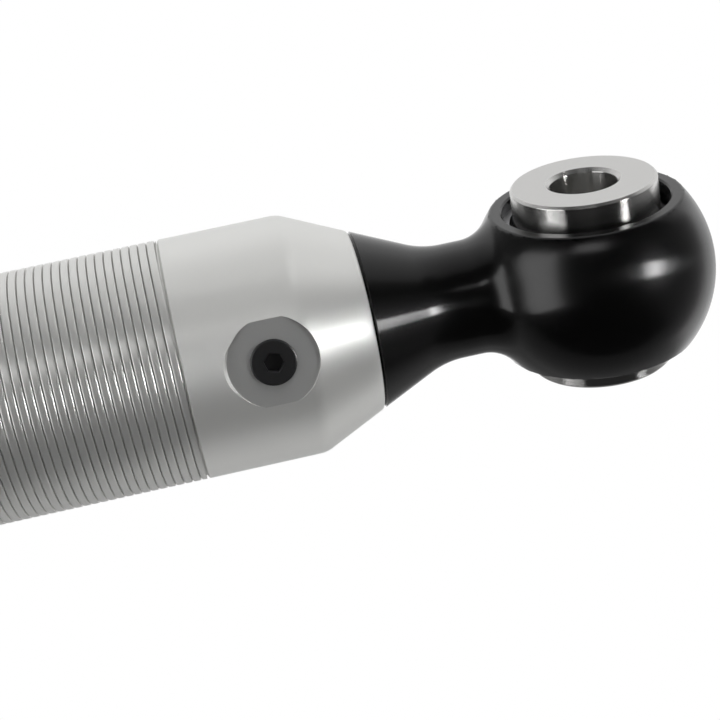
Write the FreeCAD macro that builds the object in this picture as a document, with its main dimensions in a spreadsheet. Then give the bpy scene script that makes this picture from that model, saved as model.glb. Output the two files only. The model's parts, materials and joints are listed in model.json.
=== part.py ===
"""Coilover shock absorber: threaded damper body, rod, coil spring and a ball-shaped eye at each end.

Millimetres. The origin is the centre of the upper bearing, +Z runs up along the shock's axis, X is the
axis of both mounting bolts and -Y is the front, where the charge port is. Depths are measured down from
the origin.
"""

import FreeCAD, Part
import os
import re
import Sketcher

SIZES = {
    # Eyes, the same at both ends
    "eye_diameter": 57.7,
    "eye_width": 35.56,
    "neck_diameter": 27.6,
    "neck_length": 13.94,
    "neck_fillet": 9.0,
    "cone_fillet": 20.0,
    "cone_angle": 24.6,
    "cone_length": 16.93,
    "spigot_diameter": 25.4,
    "spigot_length": 12.0,
    "eye_rim_chamfer": 0.4,
    # Spherical bearing in each eye
    "race_diameter": 39.7,
    "race_width": 18.0,
    "ball_diameter": 33.3,
    "ball_width": 22.2,
    "ball_bore": 19.05,
    "ball_clearance": 0.05,
    "snap_ring_thickness": 1.6,
    "snap_ring_section": 2.8,
    "snap_ring_groove": 1.2,
    "snap_ring_gap": 14.0,
    "snap_ring_sink": 3.0,
    # Spacers that the mounting bolt clamps
    "spacer_diameter": 34.6,
    "spacer_span": 46.0,
    "spacer_rim": 9.2,
    "spacer_seat": 22.0,
    "spacer_shank": 9.0,
    "spacer_chamfer": 0.6,
    "spacer_clearance": 0.03,
    "bolt_bore": 15.9,
    "bolt_bore_chamfer": 0.9,
    # Damper body
    "body_diameter": 57.15,
    "shoulder_fillet": 7.0,
    "body_length": 251.45,
    "body_end_chamfer": 1.5,
    "body_bore": 46.0,
    "bore_mouth_chamfer": 1.0,
    "gas_pocket_diameter": 30.0,
    "gas_pocket_above_port": 6.0,
    "gas_pocket_below_port": 8.0,
    "spigot_end_gap": 0.5,
    # Charge port
    "port_below_shoulder": 8.45,
    "port_angle": 13.2,
    "spot_face_diameter": 20.7,
    "spot_face_sink": 1.7,
    "port_screw_diameter": 6.0,
    "port_screw_length": 6.0,
    "port_head_diameter": 10.4,
    "port_head_height": 0.9,
    "port_head_rim": 0.6,
    "port_head_flat": 9.8,
    "port_hex": 4.0,
    "port_hex_sink": 2.0,
    "port_seal_section": 1.2,
    "pellet_diameter": 4.8,
    "pellet_length": 3.5,
    "gas_passage": 1.6,
    # Floating piston between gas and oil
    "gas_length": 22.0,
    "floating_length": 18.0,
    "floating_bowl_diameter": 32.0,
    "floating_bowl_sink": 9.0,
    "floating_chamfer": 1.0,
    "floating_seal_section": 3.5,
    "floating_seal_place": 6.0,
    "floating_band_width": 6.0,
    "floating_band_place": 9.5,
    "band_thickness": 2.0,
    "piston_side_gap": 0.25,
    "bore_running_gap": 0.05,
    # Rod and damping piston
    "stroke": 127.0,
    "rod_diameter": 15.875,
    "post_diameter": 12.7,
    "post_stand_out": 1.5,
    "rod_end_diameter": 14.3,
    "rod_end_length": 25.0,
    "rod_end_chamfer": 1.0,
    "nut_flats": 19.0,
    "nut_height": 10.0,
    "washer_diameter": 25.0,
    "washer_thickness": 2.5,
    "shim_count": 5,
    "shim_thickness": 0.4,
    "shim_diameter": 40.0,
    "shim_step": 3.5,
    "piston_length": 18.0,
    "piston_dish_diameter": 41.0,
    "piston_dish_sink": 1.5,
    "piston_hub_diameter": 22.0,
    "piston_port_count": 6,
    "piston_port_diameter": 5.5,
    "piston_port_circle": 31.0,
    "piston_band_width": 9.0,
    "top_out_height": 8.0,
    "top_out_diameter": 30.0,
    "top_out_gap": 1.0,
    # Seal head at the body's lower end
    "head_length": 26.0,
    "head_inset": 6.0,
    "head_ring_thickness": 2.0,
    "head_ring_groove": 1.2,
    "head_ring_section": 2.8,
    "head_ring_gap": 12.0,
    "head_rod_gap": 0.4,
    "head_seal_section": 3.0,
    "head_seal_place": 13.0,
    "bushing_wall": 1.6,
    "bushing_length": 11.0,
    "rod_seal_diameter": 25.0,
    "rod_seal_height": 6.0,
    "rod_seal_place": 12.5,
    "rod_seal_lip": 1.2,
    "rod_seal_notch": 3.0,
    "wiper_diameter": 25.0,
    "wiper_height": 6.0,
    "wiper_lip": 1.5,
    "rod_running_gap": 0.03,
    # Spring and what holds it
    "collar_below_shoulder": 100.45,
    "collar_diameter": 82.0,
    "collar_height": 15.0,
    "collar_chamfer": 1.2,
    "collar_thread_gap": 0.05,
    "notch_count": 5,
    "notch_width": 7.0,
    "notch_sink": 4.0,
    "notch_angle": 60.0,
    "clamp_slit": 2.0,
    "pinch_screw_diameter": 4.0,
    "pinch_shank_length": 18.0,
    "pinch_head_diameter": 7.0,
    "pinch_head_height": 4.0,
    "pinch_head_place": 8.0,
    "pinch_head_gap": 0.2,
    "pinch_hex": 3.0,
    "pinch_hex_sink": 2.2,
    "thrust_gap": 0.1,
    "seat_overhang": 0.25,
    "seat_thickness": 4.0,
    "seat_hub_height": 6.0,
    "seat_chamfer": 0.8,
    "seat_body_gap": 0.3,
    "spring_body_gap": 3.175,
    "spring_hub_gap": 0.4,
    "wire_diameter": 12.0,
    "active_turns": 6.0,
    "end_pitch_gap": 0.4,
    "ground_tip": 3.6,
    "perch_thickness": 8.0,
    "perch_slot_gap": 0.6,
    "perch_recess": 3.0,
    "perch_recess_gap": 0.3,
    # Bump stop on the rod
    "bump_clearance": 0.5,
    "bump_height": 24.0,
    "bump_diameter": 38.0,
    "bump_waist": 31.0,
    "bump_tip": 28.0,
    "bump_groove": 4.0,
    "bump_bore_gap": 0.3,
    "cup_thickness": 2.0,
    "cup_wall": 1.6,
    "cup_rim_height": 7.0,
    "cup_side_gap": 0.4,
    # Lower eye
    "flange_height": 6.0,
}

DERIVED = {
    "eye_radius": "eye_diameter / 2",
    "eye_half": "eye_width / 2",
    "neck_radius": "neck_diameter / 2",
    "ball_on_neck": "sqrt(eye_radius ^ 2 - neck_radius ^ 2)",
    "neck_depth": "ball_on_neck + neck_length",
    "joint_depth": "neck_depth + cone_length",
    "joint_radius": "neck_radius + cone_length * tan(cone_angle)",
    "spigot_radius": "spigot_diameter / 2",
    "spigot_end": "joint_depth + spigot_length",
    "race_radius": "race_diameter / 2",
    "race_half": "race_width / 2",
    "ring_outer_side": "eye_half - snap_ring_sink",
    "ring_inner_side": "ring_outer_side - snap_ring_thickness",
    "ring_groove_radius": "race_radius + snap_ring_groove",
    "ring_inner_radius": "ring_groove_radius - snap_ring_section",
    "ball_radius": "ball_diameter / 2",
    "ball_half": "ball_width / 2",
    "spacer_radius": "spacer_diameter / 2",
    "spacer_half": "spacer_span / 2",
    "spacer_shank_radius": "ball_bore / 2 - spacer_clearance",
    "bolt_radius": "bolt_bore / 2",
    "body_radius": "body_diameter / 2",
    "shoulder_depth": "joint_depth + (body_radius - joint_radius) / tan(cone_angle)",
    "body_end_depth": "shoulder_depth + body_length",
    "bore_radius": "body_bore / 2",
    "gas_pocket_radius": "gas_pocket_diameter / 2",
    "port_depth": "shoulder_depth + port_below_shoulder",
    "gas_pocket_depth": "port_depth - gas_pocket_above_port",
    "chamber_depth": "port_depth + gas_pocket_below_port",
    "spot_face_place": "body_radius - spot_face_sink",
    "port_hole_end": "spot_face_place - port_screw_length",
    "pellet_end": "port_hole_end - pellet_length",
    "port_screw_radius": "port_screw_diameter / 2",
    "port_seal_radius": "port_screw_radius + port_seal_section",
    "port_head_radius": "port_head_diameter / 2",
    "floating_top": "chamber_depth + gas_length",
    "floating_end": "floating_top + floating_length",
    "piston_radius": "bore_radius - piston_side_gap",
    "band_radius": "bore_radius - bore_running_gap",
    "band_groove_radius": "band_radius - band_thickness",
    "floating_seal_depth": "floating_top + floating_seal_place",
    "floating_seal_groove_radius": "band_radius - floating_seal_section",
    "floating_band_top": "floating_top + floating_band_place",
    "rod_radius": "rod_diameter / 2",
    "post_radius": "post_diameter / 2",
    "head_end": "body_end_depth - head_inset",
    "head_top": "head_end - head_length",
    "head_ring_end": "head_end + head_ring_thickness",
    "head_ring_groove_radius": "bore_radius + head_ring_groove",
    "head_seal_depth": "head_top + head_seal_place",
    "bushing_radius": "rod_radius + bushing_wall",
    "bushing_end": "head_top + bushing_length",
    "rod_seal_top": "head_top + rod_seal_place",
    "rod_seal_end": "rod_seal_top + rod_seal_height",
    "wiper_top": "head_end - wiper_height",
    "rod_fit_radius": "rod_radius + rod_running_gap",
    "head_rod_radius": "rod_radius + head_rod_gap",
    "rod_shoulder": "head_top - top_out_gap - top_out_height",
    "rebound_washer_top": "rod_shoulder - washer_thickness",
    "shim_stack": "shim_thickness * shim_count",
    "piston_end": "rebound_washer_top - shim_stack",
    "piston_top": "piston_end - piston_length",
    "piston_band_top": "(piston_top + piston_end - piston_band_width) / 2",
    "compression_washer_end": "piston_top - shim_stack",
    "nut_end": "compression_washer_end - washer_thickness",
    "nut_top": "nut_end - nut_height",
    "post_top": "nut_top - post_stand_out",
    "washer_radius": "washer_diameter / 2",
    "collar_depth": "shoulder_depth + collar_below_shoulder",
    "collar_end": "collar_depth + collar_height",
    "collar_bore_radius": "body_radius + collar_thread_gap",
    "collar_radius": "collar_diameter / 2",
    "collar_middle": "(collar_depth + collar_end) / 2",
    "pinch_screw_place": "(collar_bore_radius + collar_radius) / 2",
    "pinch_screw_radius": "pinch_screw_diameter / 2",
    "pinch_head_radius": "pinch_head_diameter / 2",
    "pinch_head_end": "pinch_head_place + pinch_head_height",
    "pinch_screw_end": "pinch_shank_length - pinch_head_place",
    "seat_top": "collar_end + thrust_gap",
    "seat_face": "seat_top + seat_thickness",
    "seat_hub_end": "seat_face + seat_hub_height",
    "spring_inner_radius": "body_radius + spring_body_gap",
    "seat_radius": "spring_inner_radius + wire_diameter + seat_overhang",
    "seat_bore_radius": "body_radius + seat_body_gap",
    "spring_hub_radius": "spring_inner_radius - spring_hub_gap",
    "bump_top": "body_end_depth + stroke + bump_clearance",
    "bump_end": "bump_top + bump_height",
    "cup_end": "bump_end + cup_thickness",
    "perch_face": "cup_end + seat_hub_height",
    "perch_end": "perch_face + perch_thickness",
    "perch_recess_top": "perch_end - perch_recess",
    "perch_recess_radius": "joint_radius + perch_recess_gap",
    "perch_slot_half": "rod_radius + perch_slot_gap",
    "flange_top": "perch_recess_top",
    "lower_eye_depth": "flange_top + flange_height + joint_depth",
    "rod_end_depth": "flange_top + rod_end_length",
    "rod_end_radius": "rod_end_diameter / 2",
    "coil_radius": "spring_inner_radius + wire_radius",
    "wire_radius": "wire_diameter / 2",
    "spring_length": "perch_face - seat_face",
    "end_pitch": "wire_diameter + end_pitch_gap",
    "end_rise": "ground_tip - wire_radius",
    "active_height": "spring_length - 2 * (end_rise + end_pitch)",
    "bump_bore_radius": "rod_radius + bump_bore_gap",
    "bump_radius": "bump_diameter / 2",
    "bump_groove_depth": "bump_top + bump_height / 2",
    "cup_inner_radius": "bump_radius + cup_side_gap",
    "cup_radius": "cup_inner_radius + cup_wall",
}

WORD = re.compile(r"[a-z_]+")
FULL_TURN = 360
HALF_TURN = "180"
QUARTER_TURN = "90"
THIRD_TURN = "120"
HEX_SIDES = 6
# A turn in degrees that sets an axis, before the sheet gives the real angle
FIRST_TURN = 1
# How near, in millimetres, an edge lies to the spot that it is looked for at
SAME_SPOT = 1e-4

doc = FreeCAD.newDocument("coilover_shock")
sheet = doc.addObject("Spreadsheet::Sheet", "sizes")
for row, (name, size) in enumerate(SIZES.items(), start=1):
    sheet.set(f"A{row}", name)
    sheet.set(f"B{row}", str(size))
    sheet.setAlias(f"B{row}", name)
doc.recompute()

pieces = []


def formula(text):
    """Write a size given in plain words as an expression on the sheet."""

    def swap(match):
        word = match.group(0)
        if word in SIZES:
            return f"sizes.{word}"
        if word in DERIVED:
            return f"({formula(DERIVED[word])})"
        return word

    return WORD.sub(swap, text)


def measure(text):
    """The number that a size given in plain words comes to."""
    return float(sheet.evalExpression(formula(text)))


def bind(thing, **sizes):
    """Tie properties of a document object to the sheet."""
    for name, text in sizes.items():
        thing.setExpression(name, formula(text))


def turn_about(axis):
    """A placement at the origin whose axis is set and whose angle is still to be tied."""
    return FreeCAD.Placement(FreeCAD.Vector(), FreeCAD.Rotation(FreeCAD.Vector(*axis), FIRST_TURN))


def place(thing, x="0", y="0", depth="0", axis=None, angle="0"):
    """Tie a piece's place, and its turn about one axis, to the sheet."""
    if axis:
        thing.Placement = turn_about(axis)
        thing.setExpression("Placement.Rotation.Angle", formula(angle))
    thing.setExpression("Placement.Base.x", formula(x))
    thing.setExpression("Placement.Base.y", formula(y))
    thing.setExpression("Placement.Base.z", formula(f"-({depth})"))
    return thing


def keep(thing, label):
    """Count a document object as one of the shock's pieces."""
    thing.Label = label
    pieces.append(thing)
    return thing


def origin_plane(body, role):
    return next(plane for plane in body.Origin.OriginFeatures if plane.Role == role)


def draw(body, outline, plane="XZ_Plane"):
    """A closed outline of straight lines, each corner tied to the sheet."""
    sketch = body.newObject("Sketcher::SketchObject", f"{body.Name}_outline")
    sketch.AttachmentSupport = (origin_plane(body, plane), [""])
    sketch.MapMode = "FlatFace"
    corners = [FreeCAD.Vector(measure(x), measure(y), 0) for x, y in outline]
    following = corners[1:] + corners[:1]
    sketch.addGeometry([Part.LineSegment(a, b) for a, b in zip(corners, following)], False)
    last = len(corners) - 1
    joins = [(i, i + 1 if i < last else 0) for i in range(len(corners))]
    sketch.addConstraint([Sketcher.Constraint("Coincident", i, 2, j, 1) for i, j in joins])
    for i, (corner, texts) in enumerate(zip(corners, outline)):
        for way, value, text in zip(("DistanceX", "DistanceY"), corner, texts):
            number = sketch.addConstraint(Sketcher.Constraint(way, -1, 1, i, 1, value))
            sketch.setExpression(f"Constraints[{number}]", formula(text))
    return sketch


def draw_circle(body, x, y, radius, plane="XY_Plane"):
    """A circle whose centre and radius are tied to the sheet."""
    sketch = body.newObject("Sketcher::SketchObject", f"{body.Name}_circle")
    sketch.AttachmentSupport = (origin_plane(body, plane), [""])
    sketch.MapMode = "FlatFace"
    centre = FreeCAD.Vector(measure(x), measure(y), 0)
    sketch.addGeometry(Part.Circle(centre, FreeCAD.Vector(0, 0, 1), measure(radius)), False)
    numbers = [
        sketch.addConstraint(Sketcher.Constraint("DistanceX", -1, 1, 0, 3, centre.x)),
        sketch.addConstraint(Sketcher.Constraint("DistanceY", -1, 1, 0, 3, centre.y)),
        sketch.addConstraint(Sketcher.Constraint("Radius", 0, measure(radius))),
    ]
    for number, text in zip(numbers, (x, y, radius)):
        sketch.setExpression(f"Constraints[{number}]", formula(text))
    return sketch


def revolve(body, sketch, axis, kind="Revolution"):
    feature = body.newObject(f"PartDesign::{kind}", f"{body.Name}_{kind.lower()}")
    feature.Profile = sketch
    feature.ReferenceAxis = (sketch, [axis])
    feature.Angle = FULL_TURN
    return feature


def turned(name, outline):
    """A body turned about the shock's axis, from (radius, depth) corners."""
    body = doc.addObject("PartDesign::Body", name)
    sketch = draw(body, [(radius, f"-({depth})") for radius, depth in outline])
    revolve(body, sketch, "V_Axis")
    return body


def turned_across(name, outline):
    """A body turned about the X axis, from (x, radius) corners."""
    body = doc.addObject("PartDesign::Body", name)
    revolve(body, draw(body, outline), "H_Axis")
    return body


def turned_forward(name, outline):
    """A body turned about the Y axis, from (distance to the front, radius) corners."""
    body = doc.addObject("PartDesign::Body", name)
    sketch = draw(body, [(f"-({front})", radius) for front, radius in outline], "YZ_Plane")
    revolve(body, sketch, "H_Axis")
    return body


def ring(name, inner, outer, top, end):
    """A plain turned ring."""
    return turned(name, [(inner, top), (outer, top), (outer, end), (inner, end)])


def o_ring(name, radius, section, depth):
    """A round-section ring about the shock's axis, by its outer radius."""
    torus = doc.addObject("Part::Torus", name)
    bind(torus, Radius1=f"{radius} - {section} / 2", Radius2=f"{section} / 2")
    place(torus, depth=depth)
    return torus


def boolean(kind, name, base, tool):
    result = doc.addObject(f"Part::{kind}", name)
    result.Base = base
    result.Tool = tool
    return result


def bar(width, near, far, side=""):
    """Corners of a bar across the X axis that runs towards the front, or the back with a minus side."""
    half = f"({width}) / 2"
    start, end = f"{side}(-({near}))", f"{side}(-({far}))"
    return [(f"-{half}", start), (half, start), (half, end), (f"-{half}", end)]


def cut_through(pocket):
    pocket.Type = "ThroughAll"
    pocket.Midplane = True


def cylinder(name, radius, height):
    rod = doc.addObject("Part::Cylinder", name)
    bind(rod, Radius=radius, Height=height)
    return rod


def hexagon(name, flats, height):
    """A six-sided prism by its width across flats."""
    prism = doc.addObject("Part::Prism", name)
    prism.Polygon = HEX_SIDES
    bind(prism, Circumradius=f"{flats} / 2 / cos({HALF_TURN} / {HEX_SIDES})", Height=height)
    return prism


def round_edges(body, size, spots):
    """Round the circular edges about the shock's axis at the given (radius, depth) spots."""
    doc.recompute()
    base = body.Tip
    wanted = [(measure(radius), -measure(depth)) for radius, depth in spots]
    names = []
    for number, edge in enumerate(base.Shape.Edges, start=1):
        if edge.Degenerated or not isinstance(edge.Curve, Part.Circle):
            continue
        found = (edge.Curve.Radius, edge.Curve.Center.z)
        if any(abs(found[0] - r) < SAME_SPOT and abs(found[1] - z) < SAME_SPOT for r, z in wanted):
            names.append(f"Edge{number}")
    fillet = body.newObject("PartDesign::Fillet", f"{body.Name}_fillet")
    fillet.Base = (base, names)
    bind(fillet, Radius=size)
    return fillet


def eye(name, tail):
    """A ball-shaped eye on a neck and cone that runs down to the tail's (radius, depth) corners."""
    stem = [("0", "0"), ("neck_radius", "0"), ("neck_radius", "neck_depth"), ("joint_radius", "joint_depth")]
    body = turned(name, stem + tail)
    ball = body.newObject("PartDesign::AdditiveSphere", f"{name}_ball")
    bind(ball, Radius="eye_radius")
    round_edges(body, "neck_fillet", [("neck_radius", "ball_on_neck")])
    round_edges(body, "cone_fillet", [("neck_radius", "neck_depth")])
    for side in ("", "-"):
        inner, outer = f"{side}eye_half", f"{side}eye_diameter"
        top, end = "eye_diameter", "-neck_depth"
        sketch = draw(body, [(inner, top), (outer, top), (outer, end), (inner, end)])
        flat = body.newObject("PartDesign::Pocket", f"{name}_flat")
        flat.Profile = sketch
        cut_through(flat)
    half = [
        ("eye_half", "race_radius + eye_rim_chamfer"),
        ("eye_half - eye_rim_chamfer", "race_radius"),
        ("ring_outer_side", "race_radius"),
        ("ring_outer_side", "ring_groove_radius"),
        ("ring_inner_side", "ring_groove_radius"),
        ("ring_inner_side", "race_radius"),
    ]
    other = [(f"-({x})", radius) for x, radius in reversed(half)]
    revolve(body, draw(body, [("eye_half", "0")] + half + other + [("-eye_half", "0")]), "H_Axis", "Groove")
    return body


def bearing(end, depth):
    """The race with its two lips, snap rings, ball and two spacers of the eye at the given depth."""
    half = [
        ("race_half", "ball_half"),
        ("race_half", "ring_inner_radius"),
        ("ring_inner_side", "ring_inner_radius"),
        ("ring_inner_side", "race_radius"),
    ]
    other = [(f"-{x}", radius) for x, radius in reversed(half)]
    blank = turned_across(f"{end}_race_blank", half + other)
    hollow = doc.addObject("Part::Sphere", f"{end}_race_hollow")
    bind(hollow, Radius="ball_radius + ball_clearance")
    race = boolean("Cut", f"{end}_race", blank, hollow)
    keep(place(race, depth=depth), f"{end}_bearing_race")
    keep(place(bearing_ball(end), depth=depth), f"{end}_ball")
    for side, sign in (("left", "-"), ("right", "")):
        keep(place(snap_ring(f"{end}_{side}", sign), depth=depth), f"{end}_snap_ring_{side}")
        keep(place(spacer(f"{end}_{side}", sign), depth=depth), f"{end}_spacer_{side}")


def snap_ring(name, side):
    """An open ring that holds the race in its eye on one side, with its gap at the top."""
    corners = [
        (f"{side}ring_inner_side", "ring_inner_radius"),
        (f"{side}ring_outer_side", "ring_inner_radius"),
        (f"{side}ring_outer_side", "ring_groove_radius"),
        (f"{side}ring_inner_side", "ring_groove_radius"),
    ]
    whole = turned_across(f"{name}_whole_ring", corners)
    gap = doc.addObject("Part::Box", f"{name}_ring_gap")
    bind(gap, Length="2 * ring_outer_side", Width="snap_ring_gap", Height="2 * ring_groove_radius")
    place(gap, x="-ring_outer_side", y="-snap_ring_gap / 2")
    return boolean("Cut", f"{name}_open_ring", whole, gap)


def bearing_ball(end):
    """A bored ball with flat ends."""
    sphere = doc.addObject("Part::Sphere", f"{end}_sphere")
    bind(sphere, Radius="ball_radius")
    corners = [("-ball_half", "ball_bore / 2"), ("ball_half", "ball_bore / 2")]
    corners += [("ball_half", "ball_radius"), ("-ball_half", "ball_radius")]
    sleeve = turned_across(f"{end}_ball_sleeve", corners)
    return boolean("Common", f"{end}_bored_ball", sphere, sleeve)


def spacer(name, side):
    """A stepped spacer: rim outside the eye, cone down to the ball's face, shank in the ball's bore."""
    corners = [
        ("ball_half - spacer_shank", "bolt_radius"),
        ("ball_half - spacer_shank", "spacer_shank_radius"),
        ("ball_half", "spacer_shank_radius"),
        ("ball_half", "spacer_seat / 2"),
        ("spacer_half - spacer_rim", "spacer_radius"),
        ("spacer_half - spacer_chamfer", "spacer_radius"),
        ("spacer_half", "spacer_radius - spacer_chamfer"),
        ("spacer_half", "bolt_radius + bolt_bore_chamfer"),
        ("spacer_half - bolt_bore_chamfer", "bolt_radius"),
    ]
    return turned_across(f"{name}_spacer_body", [(f"{side}({x})", radius) for x, radius in corners])


def damper_body():
    """The tube: cone and shoulder above, spigot socket, gas pocket, bore and retaining ring groove inside."""
    tube = turned(
        "body_tube",
        [
            ("0", "spigot_end + spigot_end_gap"),
            ("spigot_radius", "spigot_end + spigot_end_gap"),
            ("spigot_radius", "joint_depth"),
            ("joint_radius", "joint_depth"),
            ("body_radius", "shoulder_depth"),
            ("body_radius", "body_end_depth - body_end_chamfer"),
            ("body_radius - body_end_chamfer", "body_end_depth"),
            ("bore_radius + bore_mouth_chamfer", "body_end_depth"),
            ("bore_radius", "body_end_depth - bore_mouth_chamfer"),
            ("bore_radius", "head_ring_end"),
            ("head_ring_groove_radius", "head_ring_end"),
            ("head_ring_groove_radius", "head_end"),
            ("bore_radius", "head_end"),
            ("bore_radius", "chamber_depth"),
            ("gas_pocket_radius", "chamber_depth"),
            ("gas_pocket_radius", "gas_pocket_depth"),
            ("0", "gas_pocket_depth"),
        ],
    )
    round_edges(tube, "shoulder_fillet", [("body_radius", "shoulder_depth")])
    cutter = turned_forward(
        "port_cutter",
        [
            ("0", "0"),
            ("0", "gas_passage / 2"),
            ("pellet_end", "gas_passage / 2"),
            ("pellet_end", "pellet_diameter / 2"),
            ("port_hole_end", "pellet_diameter / 2"),
            ("port_hole_end", "port_screw_radius"),
            ("spot_face_place - port_seal_section", "port_screw_radius"),
            ("spot_face_place - port_seal_section", "port_seal_radius"),
            ("spot_face_place", "port_seal_radius"),
            ("spot_face_place", "spot_face_diameter / 2"),
            ("body_radius + spot_face_sink", "spot_face_diameter / 2"),
            ("body_radius + spot_face_sink", "0"),
        ],
    )
    turn_to_port(cutter)
    keep(boolean("Cut", "bored_body", tube, cutter), "damper_body")


def turn_to_port(thing):
    """Turn a piece that points to the front round to the charge port."""
    return place(thing, depth="port_depth", axis=(0, 0, 1), angle="-port_angle")


def charge_port():
    """The low-head screw, its seal and the pellet that the gas needle goes through."""
    head_top = "spot_face_place + port_head_height"
    blank = turned_forward(
        "port_screw_blank",
        [
            ("port_hole_end", "0"),
            ("port_hole_end", "port_screw_radius"),
            ("spot_face_place", "port_screw_radius"),
            ("spot_face_place", "port_head_radius"),
            ("spot_face_place + port_head_rim", "port_head_radius"),
            (head_top, "port_head_flat / 2"),
            (head_top, "0"),
        ],
    )
    socket = hexagon("port_socket", "port_hex", "port_hex_sink")
    place(socket, y=f"-({head_top}) + port_hex_sink", axis=(1, -1, 1), angle=THIRD_TURN)
    keep(turn_to_port(boolean("Cut", "port_screw", blank, socket)), "charge_port_screw")
    seal = doc.addObject("PartDesign::Body", "port_seal")
    middle = "port_seal_section / 2"
    front, out = f"{middle} - spot_face_place", f"port_screw_radius + {middle}"
    revolve(seal, draw_circle(seal, front, out, middle, "YZ_Plane"), "H_Axis")
    keep(turn_to_port(seal), "charge_port_seal")
    pellet = turned_forward(
        "port_pellet",
        [
            ("pellet_end", "0"),
            ("pellet_end", "pellet_diameter / 2"),
            ("port_hole_end", "pellet_diameter / 2"),
            ("port_hole_end", "0"),
        ],
    )
    keep(turn_to_port(pellet), "charge_port_pellet")


def floating_piston():
    """The dished piston that parts gas from oil, with its seal and wear band."""
    band_end = "floating_band_top + floating_band_width"
    seal_top = "floating_seal_depth - floating_seal_section / 2"
    seal_end = "floating_seal_depth + floating_seal_section / 2"
    bowl = "floating_top + floating_bowl_sink"
    piston = turned(
        "floating_disc",
        [
            ("0", bowl),
            ("floating_bowl_diameter / 2", bowl),
            ("floating_bowl_diameter / 2", "floating_top"),
            ("piston_radius - floating_chamfer", "floating_top"),
            ("piston_radius", "floating_top + floating_chamfer"),
            ("piston_radius", seal_top),
            ("floating_seal_groove_radius", seal_top),
            ("floating_seal_groove_radius", seal_end),
            ("piston_radius", seal_end),
            ("piston_radius", "floating_band_top"),
            ("band_groove_radius", "floating_band_top"),
            ("band_groove_radius", band_end),
            ("piston_radius", band_end),
            ("piston_radius", "floating_end - floating_chamfer"),
            ("piston_radius - floating_chamfer", "floating_end"),
            ("0", "floating_end"),
        ],
    )
    keep(piston, "floating_piston")
    seal = o_ring("floating_ring", "band_radius", "floating_seal_section", "floating_seal_depth")
    keep(seal, "floating_piston_seal")
    band = ring("floating_wear_band", "band_groove_radius", "band_radius", "floating_band_top", band_end)
    keep(band, "floating_piston_band")


def piston_rod():
    """The rod: stepped post for the piston above, stepped end for the lower eye below."""
    rod = turned(
        "rod",
        [
            ("0", "post_top"),
            ("post_radius - rod_end_chamfer", "post_top"),
            ("post_radius", "post_top + rod_end_chamfer"),
            ("post_radius", "rod_shoulder"),
            ("rod_radius", "rod_shoulder"),
            ("rod_radius", "flange_top"),
            ("rod_end_radius", "flange_top"),
            ("rod_end_radius", "rod_end_depth - rod_end_chamfer"),
            ("rod_end_radius - rod_end_chamfer", "rod_end_depth"),
            ("0", "rod_end_depth"),
        ],
    )
    keep(rod, "piston_rod")


def shims(stack, far, way):
    """Thin discs, the widest against the piston and each next one smaller."""
    for number in range(int(measure("shim_count"))):
        near = f"{far} {way} shim_thickness * {number}"
        beyond = f"{far} {way} shim_thickness * {number + 1}"
        radius = f"(shim_diameter - shim_step * {number}) / 2"
        keep(ring(f"{stack}_disc", "post_radius", radius, near, beyond), f"{stack}_shim_{number + 1}")


def damping_piston():
    """The piston with its six flow ports, band, shim stacks, washers and nut."""
    band_end = "piston_band_top + piston_band_width"
    dish = "piston_dish_diameter / 2"
    hub = "piston_hub_diameter / 2"
    piston = turned(
        "piston_disc",
        [
            ("post_radius", "piston_top"),
            (hub, "piston_top"),
            (hub, "piston_top + piston_dish_sink"),
            (dish, "piston_top + piston_dish_sink"),
            (dish, "piston_top"),
            ("piston_radius", "piston_top"),
            ("piston_radius", "piston_band_top"),
            ("band_groove_radius", "piston_band_top"),
            ("band_groove_radius", band_end),
            ("piston_radius", band_end),
            ("piston_radius", "piston_end"),
            (dish, "piston_end"),
            (dish, "piston_end - piston_dish_sink"),
            (hub, "piston_end - piston_dish_sink"),
            (hub, "piston_end"),
            ("post_radius", "piston_end"),
        ],
    )
    port = piston.newObject("PartDesign::Pocket", "piston_port")
    port.Profile = draw_circle(piston, "piston_port_circle / 2", "0", "piston_port_diameter / 2")
    cut_through(port)
    ports = piston.newObject("PartDesign::PolarPattern", "piston_ports")
    ports.Originals = [port]
    ports.Axis = (port.Profile[0], ["N_Axis"])
    ports.Angle = FULL_TURN
    bind(ports, Occurrences="piston_port_count")
    piston.Tip = ports
    keep(piston, "piston")
    band = ring("piston_wear_band", "band_groove_radius", "band_radius", "piston_band_top", band_end)
    keep(band, "piston_band")
    shims("compression", "piston_top", "-")
    shims("rebound", "piston_end", "+")
    washer = ring("top_washer", "post_radius", "washer_radius", "nut_end", "compression_washer_end")
    keep(washer, "compression_washer")
    washer = ring("low_washer", "post_radius", "washer_radius", "rebound_washer_top", "rod_shoulder")
    keep(washer, "rebound_washer")
    blank = place(hexagon("nut_blank", "nut_flats", "nut_height"), depth="nut_end")
    thread = place(cylinder("nut_thread", "post_radius", "nut_height"), depth="nut_end")
    keep(boolean("Cut", "hex_nut", blank, thread), "piston_nut")
    spacer_end = "rod_shoulder + top_out_height"
    keep(ring("top_out", "rod_radius", "top_out_diameter / 2", "rod_shoulder", spacer_end), "top_out_spacer")


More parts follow.
